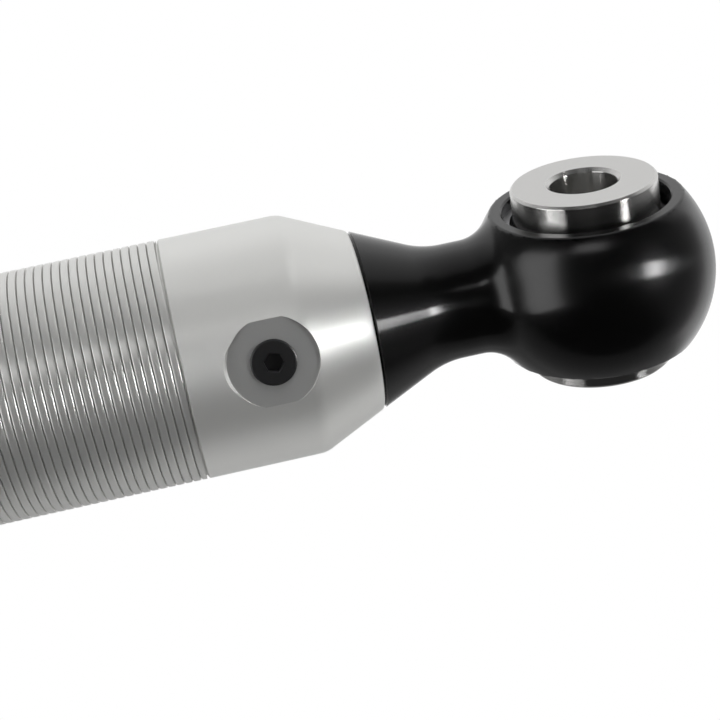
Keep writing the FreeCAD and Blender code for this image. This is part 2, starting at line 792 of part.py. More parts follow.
def seal_head():
    """The rod guide in the body's lower end, with its seals, bushing and retaining ring."""
    seal_top = "head_seal_depth - head_seal_section / 2"
    seal_end = "head_seal_depth + head_seal_section / 2"
    seal_groove = "bore_radius - head_seal_section"
    guide = turned(
        "rod_guide",
        [
            ("bushing_radius", "head_top"),
            ("bore_radius", "head_top"),
            ("bore_radius", seal_top),
            (seal_groove, seal_top),
            (seal_groove, seal_end),
            ("bore_radius", seal_end),
            ("bore_radius", "head_end"),
            ("wiper_diameter / 2", "head_end"),
            ("wiper_diameter / 2", "wiper_top"),
            ("head_rod_radius", "wiper_top"),
            ("head_rod_radius", "rod_seal_end"),
            ("rod_seal_diameter / 2", "rod_seal_end"),
            ("rod_seal_diameter / 2", "rod_seal_top"),
            ("head_rod_radius", "rod_seal_top"),
            ("head_rod_radius", "bushing_end"),
            ("bushing_radius", "bushing_end"),
        ],
    )
    keep(guide, "seal_head")
    keep(o_ring("head_ring", "bore_radius", "head_seal_section", "head_seal_depth"), "seal_head_o_ring")
    keep(ring("bushing", "rod_fit_radius", "bushing_radius", "head_top", "bushing_end"), "rod_bushing")
    seal_radius = "rod_seal_diameter / 2"
    seal = turned(
        "lip_seal",
        [
            ("rod_fit_radius", "rod_seal_top"),
            ("rod_fit_radius + rod_seal_lip", "rod_seal_top"),
            (f"(rod_fit_radius + {seal_radius}) / 2", "rod_seal_top + rod_seal_notch"),
            (f"{seal_radius} - rod_seal_lip", "rod_seal_top"),
            (seal_radius, "rod_seal_top"),
            (seal_radius, "rod_seal_end"),
            ("rod_fit_radius", "rod_seal_end"),
        ],
    )
    keep(seal, "rod_seal")
    wiper = turned(
        "wiper",
        [
            ("rod_fit_radius", "wiper_top"),
            ("wiper_diameter / 2", "wiper_top"),
            ("wiper_diameter / 2", "head_end"),
            ("rod_fit_radius + wiper_lip", "head_end + wiper_lip"),
            ("rod_fit_radius", "head_end + wiper_lip"),
        ],
    )
    keep(wiper, "rod_wiper")
    inner = "head_ring_groove_radius - head_ring_section"
    whole = ring("whole_retainer", inner, "head_ring_groove_radius", "head_end", "head_ring_end")
    gap = doc.addObject("Part::Box", "retainer_gap")
    bind(gap, Length="head_ring_gap", Width="head_ring_groove_radius * 2", Height="head_ring_thickness")
    place(gap, x="-head_ring_gap / 2", depth="head_ring_end")
    keep(boolean("Cut", "retainer", whole, gap), "seal_head_retaining_ring")


def adjuster_collar():
    """The threaded ring: spanner notches, a clamp slit at the front and the pinch screw across it."""
    collar = turned(
        "collar_ring",
        [
            ("collar_bore_radius", "collar_depth"),
            ("collar_radius - collar_chamfer", "collar_depth"),
            ("collar_radius", "collar_depth + collar_chamfer"),
            ("collar_radius", "collar_end - collar_chamfer"),
            ("collar_radius - collar_chamfer", "collar_end"),
            ("collar_bore_radius", "collar_end"),
        ],
    )
    slit = collar.newObject("PartDesign::Pocket", "clamp_cut")
    slit.Profile = draw(collar, bar("clamp_slit", "0", "collar_radius + collar_height"), "XY_Plane")
    cut_through(slit)
    notch = collar.newObject("PartDesign::Pocket", "spanner_notch")
    corners = bar("notch_width", "collar_radius - notch_sink", "collar_radius + collar_height")
    sketch = draw(collar, corners, "XY_Plane")
    sketch.AttachmentOffset = turn_about((0, 0, 1))
    sketch.setExpression("AttachmentOffset.Rotation.Angle", formula("notch_angle"))
    notch.Profile = sketch
    cut_through(notch)
    notches = collar.newObject("PartDesign::PolarPattern", "spanner_notches")
    notches.Originals = [notch]
    notches.Axis = (sketch, ["N_Axis"])
    bind(notches, Angle="notch_angle * (notch_count - 1)", Occurrences="notch_count")
    collar.Tip = notches
    cutter = turned_across(
        "pinch_cutter",
        [
            ("-pinch_screw_end", "0"),
            ("-pinch_screw_end", "pinch_screw_radius"),
            ("pinch_head_place", "pinch_screw_radius"),
            ("pinch_head_place", "pinch_head_radius + pinch_head_gap"),
            ("collar_radius", "pinch_head_radius + pinch_head_gap"),
            ("collar_radius", "0"),
        ],
    )
    place(cutter, y="-pinch_screw_place", depth="collar_middle")
    keep(boolean("Cut", "clamp_ring", collar, cutter), "adjuster_collar")
    blank = turned_across(
        "pinch_screw_blank",
        [
            ("-pinch_screw_end", "0"),
            ("-pinch_screw_end", "pinch_screw_radius"),
            ("pinch_head_place", "pinch_screw_radius"),
            ("pinch_head_place", "pinch_head_radius"),
            ("pinch_head_end", "pinch_head_radius"),
            ("pinch_head_end", "0"),
        ],
    )
    socket = hexagon("pinch_socket", "pinch_hex", "pinch_hex_sink")
    place(socket, x="pinch_head_end - pinch_hex_sink", axis=(0, 1, 0), angle=QUARTER_TURN)
    screw = boolean("Cut", "pinch_screw", blank, socket)
    keep(place(screw, y="-pinch_screw_place", depth="collar_middle"), "collar_pinch_screw")


def spring_seat():
    """The ring between collar and spring, with a hub that centres the spring."""
    seat = turned(
        "seat_ring",
        [
            ("seat_bore_radius", "seat_top"),
            ("seat_radius - seat_chamfer", "seat_top"),
            ("seat_radius", "seat_top + seat_chamfer"),
            ("seat_radius", "seat_face"),
            ("spring_hub_radius", "seat_face"),
            ("spring_hub_radius", "seat_hub_end - seat_chamfer"),
            ("spring_hub_radius - seat_chamfer", "seat_hub_end"),
            ("seat_bore_radius", "seat_hub_end"),
        ],
    )
    keep(seat, "upper_spring_seat")


def coil(name, turns, pitch, depth, angle):
    """A stretch of the spring's wire, starting at a depth and an angle about the shock's axis."""
    spine = doc.addObject("Part::Helix", f"{name}_spine")
    bind(spine, Radius="coil_radius", Pitch=pitch, Height=f"({pitch}) * ({turns})")
    section = doc.addObject("Part::Circle", f"{name}_section")
    bind(section, Radius="wire_radius")
    place(section, x="coil_radius", axis=(1, 0, 0), angle=QUARTER_TURN)
    wire = doc.addObject("Part::Sweep", name)
    wire.Sections = [section]
    wire.Spine = (spine, [])
    wire.Solid = True
    wire.Frenet = True
    return place(wire, depth=depth, axis=(0, 0, 1), angle=angle)


def coil_spring():
    """Open coils between one closed coil at each end, both ends ground flat on their seats."""
    low = "perch_face - end_rise"
    high = "seat_face + end_rise + end_pitch"
    turn = f"active_turns * {FULL_TURN}"
    stretches = [
        coil("low_closed_coil", "1", "end_pitch", low, "0"),
        coil("open_coils", "active_turns", "active_height / active_turns", f"{low} - end_pitch", "0"),
        coil("high_closed_coil", "1", "end_pitch", high, turn),
    ]
    wound = doc.addObject("Part::MultiFuse", "wound_wire")
    wound.Shapes = stretches
    between = cylinder("ground_ends", "coil_radius + wire_diameter", "spring_length")
    place(between, depth="perch_face")
    keep(boolean("Common", "ground_spring", wound, between), "coil_spring")


def lower_perch():
    """The slotted plate that carries the spring on the lower eye's flange."""
    perch = turned(
        "perch_plate",
        [
            ("perch_slot_half", "cup_end"),
            ("spring_hub_radius - seat_chamfer", "cup_end"),
            ("spring_hub_radius", "cup_end + seat_chamfer"),
            ("spring_hub_radius", "perch_face"),
            ("seat_radius", "perch_face"),
            ("seat_radius", "perch_end - seat_chamfer"),
            ("seat_radius - seat_chamfer", "perch_end"),
            ("perch_recess_radius", "perch_end"),
            ("perch_recess_radius", "perch_recess_top"),
            ("perch_slot_half", "perch_recess_top"),
        ],
    )
    slot = perch.newObject("PartDesign::Pocket", "rod_slot")
    corners = bar("2 * perch_slot_half", "0", "seat_radius + perch_thickness", "-")
    slot.Profile = draw(perch, corners, "XY_Plane")
    cut_through(slot)
    keep(perch, "lower_spring_perch")


def bump_stop():
    """The waisted rubber stop on the rod and the dish that holds it."""
    stop = turned(
        "rubber_stop",
        [
            ("bump_bore_radius", "bump_top"),
            ("bump_tip / 2", "bump_top"),
            ("bump_radius", "bump_groove_depth - bump_groove"),
            ("bump_waist / 2", "bump_groove_depth"),
            ("bump_radius", "bump_groove_depth + bump_groove"),
            ("bump_radius", "bump_end"),
            ("bump_bore_radius", "bump_end"),
        ],
    )
    keep(stop, "bump_stop")
    rim = "cup_end - cup_rim_height"
    cup = turned(
        "stop_dish",
        [
            ("bump_bore_radius", "bump_end"),
            ("cup_inner_radius", "bump_end"),
            ("cup_inner_radius", rim),
            ("cup_radius", rim),
            ("cup_radius", "cup_end"),
            ("bump_bore_radius", "cup_end"),
        ],
    )
    keep(cup, "bump_stop_cup")


def lower_eye():
    """The lower eye, upside down, with a flange for the perch and a socket for the rod."""
    base = "joint_depth + flange_height"
    socket = f"{base} - rod_end_length - spigot_end_gap"
    tail = [("joint_radius", base), ("rod_end_radius", base), ("rod_end_radius", socket), ("0", socket)]
    body = eye("lower_eye_body", tail)
    keep(place(body, depth="lower_eye_depth", axis=(1, 0, 0), angle=HALF_TURN), "lower_eye")


def upper_eye():
    """The upper eye, with the spigot that screws into the body."""
    tail = [("spigot_radius", "joint_depth"), ("spigot_radius", "spigot_end"), ("0", "spigot_end")]
    keep(eye("upper_eye_body", tail), "upper_eye")


damper_body()
upper_eye()
bearing("upper", "0")
charge_port()
floating_piston()
piston_rod()
damping_piston()
seal_head()
adjuster_collar()
spring_seat()
coil_spring()
lower_perch()
bump_stop()
lower_eye()
bearing("lower", "lower_eye_depth")

doc.recompute()
faults = [thing.Name for thing in doc.Objects if {"Invalid", "Error"} & set(thing.State)]
faults += [piece.Label for piece in pieces if piece.Shape.isNull() or not piece.Shape.isValid()]
if faults:
    raise RuntimeError(f"these did not build: {faults}")

os.makedirs("parts", exist_ok=True)
for piece in pieces:
    piece.Shape.exportStep(f"parts/{piece.Label}.step")
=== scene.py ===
import json
import math

import bpy
from mathutils import Matrix, Vector


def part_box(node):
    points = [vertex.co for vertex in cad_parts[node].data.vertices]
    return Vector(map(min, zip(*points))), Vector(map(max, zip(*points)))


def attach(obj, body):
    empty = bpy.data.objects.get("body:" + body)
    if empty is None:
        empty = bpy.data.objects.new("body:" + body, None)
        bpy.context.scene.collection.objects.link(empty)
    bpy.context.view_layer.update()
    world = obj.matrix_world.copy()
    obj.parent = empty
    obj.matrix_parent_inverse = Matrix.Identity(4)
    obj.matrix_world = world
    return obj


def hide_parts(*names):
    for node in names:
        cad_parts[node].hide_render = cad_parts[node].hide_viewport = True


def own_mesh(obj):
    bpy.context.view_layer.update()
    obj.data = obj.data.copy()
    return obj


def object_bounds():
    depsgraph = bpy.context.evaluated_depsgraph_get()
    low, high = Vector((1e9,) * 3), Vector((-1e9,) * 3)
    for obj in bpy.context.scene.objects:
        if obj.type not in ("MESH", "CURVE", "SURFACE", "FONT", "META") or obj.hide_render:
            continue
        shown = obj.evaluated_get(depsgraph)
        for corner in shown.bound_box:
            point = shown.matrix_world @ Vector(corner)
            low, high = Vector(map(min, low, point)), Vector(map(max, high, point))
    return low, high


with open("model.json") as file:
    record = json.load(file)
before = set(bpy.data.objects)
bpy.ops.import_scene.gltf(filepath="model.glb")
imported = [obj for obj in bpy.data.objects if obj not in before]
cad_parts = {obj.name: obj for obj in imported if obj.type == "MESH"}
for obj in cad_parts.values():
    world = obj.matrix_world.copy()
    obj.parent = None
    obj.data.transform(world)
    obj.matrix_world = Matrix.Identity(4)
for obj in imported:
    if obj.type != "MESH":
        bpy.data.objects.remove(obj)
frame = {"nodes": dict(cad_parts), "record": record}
cad_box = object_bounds()


def mm(length):
    return length * 0.001


def middle(node):
    low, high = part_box(node)
    return (low + high) / 2


# Sizes that the solids give.

body_low, body_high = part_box("damper_body")
collar_low, collar_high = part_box("adjuster_collar")
seat_low, seat_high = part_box("upper_spring_seat")
spring_low, spring_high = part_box("coil_spring")
perch_low, perch_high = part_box("lower_spring_perch")
stop_low, stop_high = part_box("bump_stop")
cup_low, cup_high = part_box("bump_stop_cup")

BODY_RADIUS = body_high.x
JOINT_HEIGHT = body_high.z
BODY_END = body_low.z
EYE_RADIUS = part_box("upper_eye")[1].z
LOWER_EYE_HEIGHT = middle("lower_ball").z
PORT_HEIGHT = middle("charge_port_screw").z
COLLAR_RADIUS = collar_high.x
SEAT_RADIUS = seat_high.x

# Driving dimensions: the joint between body and eye.

CONE_ANGLE = math.radians(24.6)
JOINT_RADIUS = mm(21.551)
JOINT_GAP = mm(0.75)
SPIGOT_RADIUS = mm(12.7)
SPIGOT_LENGTH = mm(12)
SPIGOT_CHAMFER = mm(1)
SOCKET_DEPTH = mm(12.5)
EDGE_BREAK = mm(0.35)

# The body.

SHOULDER_ROUND = mm(7)
LAND_END = -mm(99.5)
LAND_CHAMFER = mm(0.3)
LAND_RUN_OUT = mm(0.5)
THREAD_PITCH = mm(2)
THREAD_DEPTH = mm(0.8)
THREAD_TOP = LAND_END - mm(0.8)
THREAD_END = BODY_END + mm(2.6)
THREAD_START = THREAD_END - THREAD_PITCH - mm(1)
THREAD_STEPS = 80
ROOT_RADIUS = BODY_RADIUS - THREAD_DEPTH - mm(0.05)
BODY_BORE = mm(23)
MID_WALL = BODY_BORE + mm(2)
BODY_END_CHAMFER = mm(1)
RETAINER_GROOVE = BODY_BORE + mm(1.2)
RETAINER_GROOVE_LOW = BODY_END + mm(4)
RETAINER_GROOVE_HIGH = BODY_END + mm(6)
GAS_POCKET = mm(15)
GAS_POCKET_LOW = PORT_HEIGHT - mm(8)
GAS_POCKET_HIGH = PORT_HEIGHT + mm(6)

# The charge port.

PORT_ANGLE = math.radians(13.2)
PORT_DIRECTION = Vector((-math.sin(PORT_ANGLE), -math.cos(PORT_ANGLE), 0))
PORT_FACE = mm(26.875)
PORT_FACE_RADIUS = mm(10.35)
PORT_RIM = PORT_FACE + mm(0.95)
PORT_FLARE = mm(4)
PORT_HOLE_END = mm(13)
PORT_SCREW_RADIUS = mm(3)
PORT_SCREW_LENGTH = mm(6)
PORT_HEAD_RADIUS = mm(5.2)
PORT_HEAD_HEIGHT = mm(0.9)
PORT_HEX = mm(4)
PORT_HEX_DEPTH = mm(2)
PORT_HEX_TURN = math.radians(-13)

# The eyes and their bearings.

EYE_FLAT = mm(17.78)
POLE_ANGLE = 89.4
TOOL_STEP = mm(4.7)
NECK_RADIUS = mm(13.8)
NECK_ROUND = mm(9)
CONE_ROUND = mm(20)
RACE_SEAT = mm(19.85)
RING_GROOVE = mm(21.05)
RING_INNER_SIDE = mm(13.18)
RING_OUTER_SIDE = mm(14.78)
FLANGE_HEIGHT = mm(6)
ROD_SOCKET = mm(7.15)
ROD_SOCKET_SINK = mm(25.5)
SPACER_RADIUS = mm(17.3)
SPACER_RIM = mm(9.2)
SPACER_CHAMFER = mm(0.6)
SPACER_BREAK = mm(0.06)
SPACER_SEAT = mm(11)
SPACER_SHANK = mm(9.495)
SPACER_SHANK_END = mm(2.1)
BALL_FACE = mm(11.1)
BOLT_BORE = mm(7.95)
BOLT_BORE_CHAMFER = mm(0.9)

# The spring and what holds it.

COLLAR_BORE = BODY_RADIUS + mm(0.05)
COLLAR_CHAMFER = mm(1.2)
NOTCH_PLACES = 6
SEAT_BORE = BODY_RADIUS + mm(0.3)
SEAT_PLATE = mm(4)
SEAT_CHAMFER = mm(0.8)
RING_BREAK = mm(0.2)
SPRING_HUB = mm(31.35)
PERCH_PLATE = mm(8)
PERCH_SLOT = mm(8.5375)
PERCH_RECESS = mm(21.851)
PERCH_RECESS_SINK = mm(3)
STOP_BORE = mm(8.2375)
WIRE = mm(12)
COIL_RADIUS = mm(37.75)
CLOSED_PITCH = mm(12.4)
ACTIVE_TURNS = 6
TURN_STEPS = 64

# How finely the pieces are made.

FINE_SIDES = 144
PLAIN_SIDES = 96
WELD_GAP = mm(0.001)
THREAD_WELD_GAP = mm(0.002)
FLAT_TOLERANCE = mm(0.01)


# Bench work: small steps that every piece is made with.


def clear_bench():
    active = bpy.context.view_layer.objects.active
    if active and active.mode != "OBJECT":
        bpy.ops.object.mode_set(mode="OBJECT")
    bpy.ops.object.select_all(action="DESELECT")


def hold(piece):
    clear_bench()
    piece.select_set(True)
    bpy.context.view_layer.objects.active = piece


def set_down(piece):
    hold(piece)
    bpy.ops.object.transform_apply(location=True, rotation=True, scale=True)


def open_up(piece):
    """Go into edit mode with the whole piece selected."""
    hold(piece)
    bpy.ops.object.mode_set(mode="EDIT")
    bpy.ops.mesh.select_all(action="SELECT")


def weld(piece, gap):
    open_up(piece)
    bpy.ops.mesh.remove_doubles(threshold=gap)
    bpy.ops.object.mode_set(mode="OBJECT")


def face_outward(piece):
    open_up(piece)
    bpy.ops.mesh.normals_make_consistent(inside=False)
    bpy.ops.object.mode_set(mode="OBJECT")


def turned(name, outline, sides=FINE_SIDES, hollow=False):
    """A disc is extruded ring by ring along (radius, height) points.

    The outline of a hollow piece closes on itself.
    """
    clear_bench()
    radius, height = outline[0]
    bpy.ops.mesh.primitive_circle_add(
        vertices=sides, radius=radius, fill_type="NOTHING" if hollow else "NGON", location=(0, 0, height)
    )
    piece = bpy.context.object
    piece.name = name
    set_down(piece)
    open_up(piece)
    rest = outline[1:] + outline[:1] if hollow else outline[1:]
    for next_radius, next_height in rest:
        widen = next_radius / radius
        bpy.ops.mesh.extrude_region_move(TRANSFORM_OT_translate={"value": (0, 0, next_height - height)})
        bpy.ops.transform.resize(value=(widen, widen, 1), center_override=(0, 0, next_height))
        radius, height = next_radius, next_height
    if hollow:
        weld(piece, WELD_GAP)
    face_outward(piece)
    return piece


def arc(centre, radius, start, end, steps):
    """Points on a round of the outline; angles in degrees, 0 outward and 90 up."""
    points = []
    for step in range(steps + 1):
        angle = math.radians(start + (end - start) * step / steps)
        points.append((centre[0] + radius * math.cos(angle), centre[1] + radius * math.sin(angle)))
    return points


def straight(start, end, steps):
    """Points along a straight run of the outline, without its start."""
    points = []
    for step in range(1, steps + 1):
        share = step / steps
        points.append((start[0] + (end[0] - start[0]) * share, start[1] + (end[1] - start[1]) * share))
    return points


def broken(outline, size):
    """A closed outline with every corner cut back a little, as sharp edges are broken on the lathe."""
    eased = []
    for number, corner in enumerate(outline):
        for neighbour in (outline[number - 1], outline[(number + 1) % len(outline)]):
            way = Vector(neighbour) - Vector(corner)
            eased.append(tuple(Vector(corner) + way.normalized() * min(size, way.length / 3)))
    return eased


def aim(piece, direction):
    """Turn a piece made along Z to another direction."""
    piece.matrix_world = Vector(direction).to_track_quat("Z", "Y").to_matrix().to_4x4()
    set_down(piece)


def shift(piece, place):
    piece.location = place
    set_down(piece)


def block(name, size, place):
    """A plain block to cut with."""
    clear_bench()
    bpy.ops.mesh.primitive_cube_add(size=1, location=place)
    piece = bpy.context.object
    piece.name = name
    piece.scale = size
    set_down(piece)
    return piece


def cut_away(piece, cutter):
    hold(piece)
    cut = piece.modifiers.new("cut", "BOOLEAN")
    cut.operation = "DIFFERENCE"
    cut.solver = "EXACT"
    cut.object = cutter
    bpy.ops.object.modifier_apply(modifier=cut.name)
    bpy.data.objects.remove(cutter)


def slice_off(piece, point, normal, fill):
    """Cut a piece at a plane and throw away what lies beyond it."""
    open_up(piece)
    bpy.ops.mesh.bisect(plane_co=point, plane_no=normal, clear_outer=True, use_fill=fill, threshold=1e-7)
    bpy.ops.object.mode_set(mode="OBJECT")


def pick(piece, kind, wanted):
    """Select the faces or edges that pass a test of place, and open edit mode."""
    hold(piece)
    bpy.ops.object.mode_set(mode="EDIT")
    bpy.ops.mesh.select_mode(type=kind)
    bpy.ops.mesh.select_all(action="DESELECT")
    bpy.ops.object.mode_set(mode="OBJECT")
    mesh = piece.data
    if kind == "FACE":
        for face in mesh.polygons:
            face.select = wanted(face.center)
    else:
        for edge in mesh.edges:
            edge.select = all(wanted(mesh.vertices[end].co) for end in edge.vertices)
    bpy.ops.object.mode_set(mode="EDIT")


def smooth(piece, angle=20):
    hold(piece)
    bpy.ops.object.shade_smooth_by_angle(angle=math.radians(angle))


def keep_flat(piece, wanted):
    """Stop the shading of a flat face from running on into its neighbours."""
    pick(piece, "FACE", wanted)
    bpy.ops.mesh.region_to_loop()
    bpy.ops.mesh.mark_sharp()
    bpy.ops.object.mode_set(mode="OBJECT")


def fit(piece, node, body, slot, names=None):
    """Put a finished piece in the place of its solid, with its own finishes or its slot's."""
    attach(piece, body)
    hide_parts(node)
    return piece, names or [slot]


# The threaded damper body.


def threaded_shell():
    """One crest of the thread, drawn as a profile and screwed up the whole threaded length."""
    # Each point gives its way along in half pitches, and how deep it lies in thread depths.
    rise = [(0.09, 0.55), (0.19, 0.14), (0.33, 0.03), (0.56, 0.00)]
    fall = [(2 - along, sunk) for along, sunk in reversed([(0, 1)] + rise)]
    clear_bench()
    start = (BODY_RADIUS - THREAD_DEPTH, 0, THREAD_START)
    bpy.ops.mesh.primitive_plane_add(size=THREAD_PITCH, location=start)
    shell = bpy.context.object
    shell.name = "thread"
    set_down(shell)
    open_up(shell)
    bpy.ops.mesh.merge(type="CENTER")
    along, sunk = 0, 1
    for next_along, next_sunk in rise + fall:
        step = (THREAD_DEPTH * (sunk - next_sunk), 0, THREAD_PITCH / 2 * (next_along - along))
        bpy.ops.mesh.extrude_vertices_move(TRANSFORM_OT_translate={"value": step})
        along, sunk = next_along, next_sunk
    bpy.ops.object.mode_set(mode="OBJECT")
    screw = shell.modifiers.new("turns", "SCREW")
    screw.axis = "Z"
    screw.screw_offset = THREAD_PITCH
    screw.iterations = math.ceil((THREAD_TOP - THREAD_END) / THREAD_PITCH) + 2
    screw.steps = THREAD_STEPS
    screw.render_steps = THREAD_STEPS
    screw.use_merge_vertices = False
    bpy.ops.object.modifier_apply(modifier=screw.name)
    weld(shell, THREAD_WELD_GAP)
    slice_off(shell, (0, 0, THREAD_TOP), (0, 0, 1), False)
    slice_off(shell, (0, 0, THREAD_END), (0, 0, -1), False)
    return shell


def on_outside(place):
    return math.hypot(place.x, place.y) > MID_WALL


def select_open_rim(body, height):
    """Select the open edges near a height."""
    bpy.ops.object.mode_set(mode="EDIT")
    bpy.ops.mesh.select_mode(type="EDGE")
    bpy.ops.mesh.select_all(action="DESELECT")
    bpy.ops.mesh.select_non_manifold(
        extend=False, use_wire=False, use_boundary=True, use_multi_face=False,
        use_non_contiguous=False, use_verts=False,
    )
    bpy.ops.object.mode_set(mode="OBJECT")
    near = mm(0.3)
    mesh = body.data
    for edge in mesh.edges:
        if edge.select:
            edge.select = abs(mesh.vertices[edge.vertices[0]].co.z - height) < near


def join_thread(body, shell):
    """Take the plain stretch out of the body and set the thread in its place."""

    def plain_stretch(place):
        return THREAD_END < place.z < THREAD_TOP and on_outside(place)

    pick(body, "FACE", plain_stretch)
    bpy.ops.mesh.delete(type="FACE")
    clear_bench()
    shell.select_set(True)
    body.select_set(True)
    bpy.context.view_layer.objects.active = body
    bpy.ops.object.join()
    for height in (THREAD_TOP, THREAD_END):
        select_open_rim(body, height)
        bpy.ops.object.mode_set(mode="EDIT")
        bpy.ops.mesh.fill()
        bpy.ops.object.mode_set(mode="OBJECT")
    face_outward(body)


def body_outline():
    """Socket for the eye, cone, shoulder and land outside, then the end, the bore and the gas pocket."""
    shoulder = JOINT_HEIGHT - (BODY_RADIUS - JOINT_RADIUS) / math.tan(CONE_ANGLE)
    tangent = SHOULDER_ROUND * math.tan(CONE_ANGLE / 2)
    round_centre = (BODY_RADIUS - SHOULDER_ROUND, shoulder - tangent)
    shoulder_arc = arc(round_centre, SHOULDER_ROUND, math.degrees(CONE_ANGLE), 0, steps=8)
    lip = EDGE_BREAK * 1.6
    lip_round = EDGE_BREAK * 0.4
    lip_drop = EDGE_BREAK * 0.5
    cone_start = (
        JOINT_RADIUS + EDGE_BREAK * math.sin(CONE_ANGLE),
        JOINT_HEIGHT - EDGE_BREAK * math.cos(CONE_ANGLE) - lip_round,
    )
    outline = [
        (SPIGOT_RADIUS, JOINT_HEIGHT - SOCKET_DEPTH),
        (SPIGOT_RADIUS, JOINT_HEIGHT),
        (JOINT_RADIUS - lip, JOINT_HEIGHT),
        (JOINT_RADIUS - lip_round, JOINT_HEIGHT - lip_drop),
        cone_start,
    ]
    outline += straight(cone_start, shoulder_arc[0], steps=8)
    outline += shoulder_arc[1:]
    outline += straight(shoulder_arc[-1], (BODY_RADIUS, LAND_END), steps=16)
    outline += [
        (BODY_RADIUS - LAND_CHAMFER, LAND_END - LAND_CHAMFER),
        (ROOT_RADIUS, LAND_END - LAND_RUN_OUT),
        (ROOT_RADIUS, THREAD_TOP),
        (ROOT_RADIUS, THREAD_END),
        (ROOT_RADIUS, BODY_END + BODY_END_CHAMFER),
        (ROOT_RADIUS - BODY_END_CHAMFER, BODY_END),
        (BODY_BORE + BODY_END_CHAMFER, BODY_END),
        (BODY_BORE, BODY_END + BODY_END_CHAMFER),
        (BODY_BORE, RETAINER_GROOVE_LOW),
        (RETAINER_GROOVE, RETAINER_GROOVE_LOW),
        (RETAINER_GROOVE, RETAINER_GROOVE_HIGH),
        (BODY_BORE, RETAINER_GROOVE_HIGH),
    ]
    outline += straight(outline[-1], (BODY_BORE, GAS_POCKET_LOW), steps=16)
    outline += [
        (GAS_POCKET, GAS_POCKET_LOW),
        (GAS_POCKET, GAS_POCKET_HIGH),
    ]
    return outline


def make_body():
    """The turned body with the port's spot-face cut in and the thread set on."""
    body = turned("threaded_body", body_outline())
    cutter = turned("port_cutter", [
        (PORT_SCREW_RADIUS, PORT_HOLE_END),
        (PORT_SCREW_RADIUS, PORT_FACE),
        (PORT_FACE_RADIUS, PORT_FACE),
        (PORT_FACE_RADIUS, PORT_RIM),
        (PORT_FACE_RADIUS + PORT_FLARE, PORT_RIM + PORT_FLARE),
    ])
    aim(cutter, PORT_DIRECTION)
    shift(cutter, (0, 0, PORT_HEIGHT))
    cut_away(body, cutter)
    join_thread(body, threaded_shell())
    smooth(body, angle=40)
    face_centre = PORT_DIRECTION * PORT_FACE + Vector((0, 0, PORT_HEIGHT))
    face_tolerance = mm(0.02)

    def on_spot_face(place):
        out = place - face_centre
        return abs(out.dot(PORT_DIRECTION)) < face_tolerance and out.length < PORT_FACE_RADIUS

    keep_flat(body, on_spot_face)
    names = ["bright_anodised", "spot_face", "cut_thread"]
    for face in body.data.polygons:
        name = "bright_anodised"
        if on_spot_face(face.center):
            name = "spot_face"
        elif face.center.z < LAND_END and on_outside(face.center):
            name = "cut_thread"
        face.material_index = names.index(name)
    return fit(body, "damper_body", "damper", "bright_anodised", names)


def make_port_screw():
    """A low round head with a hexagon socket, on its short shank."""
    top = PORT_FACE + PORT_HEAD_HEIGHT
    under_edge = mm(0.1)
    round_drop = mm(0.12)
    screw = turned("port_screw", [
        (PORT_SCREW_RADIUS, PORT_FACE - PORT_SCREW_LENGTH),
        (PORT_SCREW_RADIUS, PORT_FACE),
        (PORT_HEAD_RADIUS - under_edge, PORT_FACE),
        (PORT_HEAD_RADIUS, PORT_FACE + under_edge),
        (PORT_HEAD_RADIUS, top - EDGE_BREAK),
        (PORT_HEAD_RADIUS - under_edge, top - round_drop),
        (PORT_HEAD_RADIUS - EDGE_BREAK, top),
    ], PLAIN_SIDES)
    corner = PORT_HEX / 2 / math.cos(math.radians(30))
    chamfer_start = top - mm(0.18)
    chamfer_reach = mm(0.5)
    socket = turned("port_socket", [
        (corner, top - PORT_HEX_DEPTH),
        (corner, chamfer_start),
        (corner + chamfer_reach, chamfer_start + chamfer_reach),
    ], sides=6)
    socket.rotation_euler.z = PORT_HEX_TURN
    set_down(socket)
    cut_away(screw, socket)
    aim(screw, PORT_DIRECTION)
    shift(screw, (0, 0, PORT_HEIGHT))
    smooth(screw)
    return fit(screw, "charge_port_screw", "damper", "black_oxide")


# The black eyes: a turned ball, neck and cone, with two flats and a cross bore for the bearing.


def eye_outline():
    ball_to_round = EYE_RADIUS + NECK_ROUND
    round_radius = NECK_RADIUS + NECK_ROUND
    round_depth = math.sqrt(ball_to_round ** 2 - round_radius ** 2)
    touch = math.degrees(math.atan2(round_depth, round_radius))
    outline = arc((0, 0), EYE_RADIUS, POLE_ANGLE, -touch, steps=72)
    outline += arc((round_radius, -round_depth), NECK_ROUND, 180 - touch, 180, steps=10)[1:]
    cone_height = JOINT_HEIGHT + (JOINT_RADIUS - NECK_RADIUS) / math.tan(CONE_ANGLE)
    tangent = CONE_ROUND * math.tan(CONE_ANGLE / 2)
    bend_centre = (NECK_RADIUS + CONE_ROUND, cone_height + tangent)
    outline += arc(bend_centre, CONE_ROUND, 180, 180 + math.degrees(CONE_ANGLE), steps=12)
    cone_end = (JOINT_RADIUS - JOINT_GAP * math.tan(CONE_ANGLE), JOINT_HEIGHT + JOINT_GAP)
    outline += straight(outline[-1], cone_end, steps=6)
    return outline


def bearing_cutter():
    """The cross bore with its snap ring grooves and chamfered rims."""
    rim = mm(0.4)
    beyond = mm(3)
    half = [
        (RACE_SEAT, RING_INNER_SIDE),
        (RING_GROOVE, RING_INNER_SIDE),
        (RING_GROOVE, RING_OUTER_SIDE),
        (RACE_SEAT, RING_OUTER_SIDE),
        (RACE_SEAT, EYE_FLAT - rim),
        (RACE_SEAT + rim + beyond, EYE_FLAT + beyond),
    ]
    other_half = [(radius, -height) for radius, height in reversed(half)]
    return turned("bearing_cutter", other_half + half, PLAIN_SIDES)


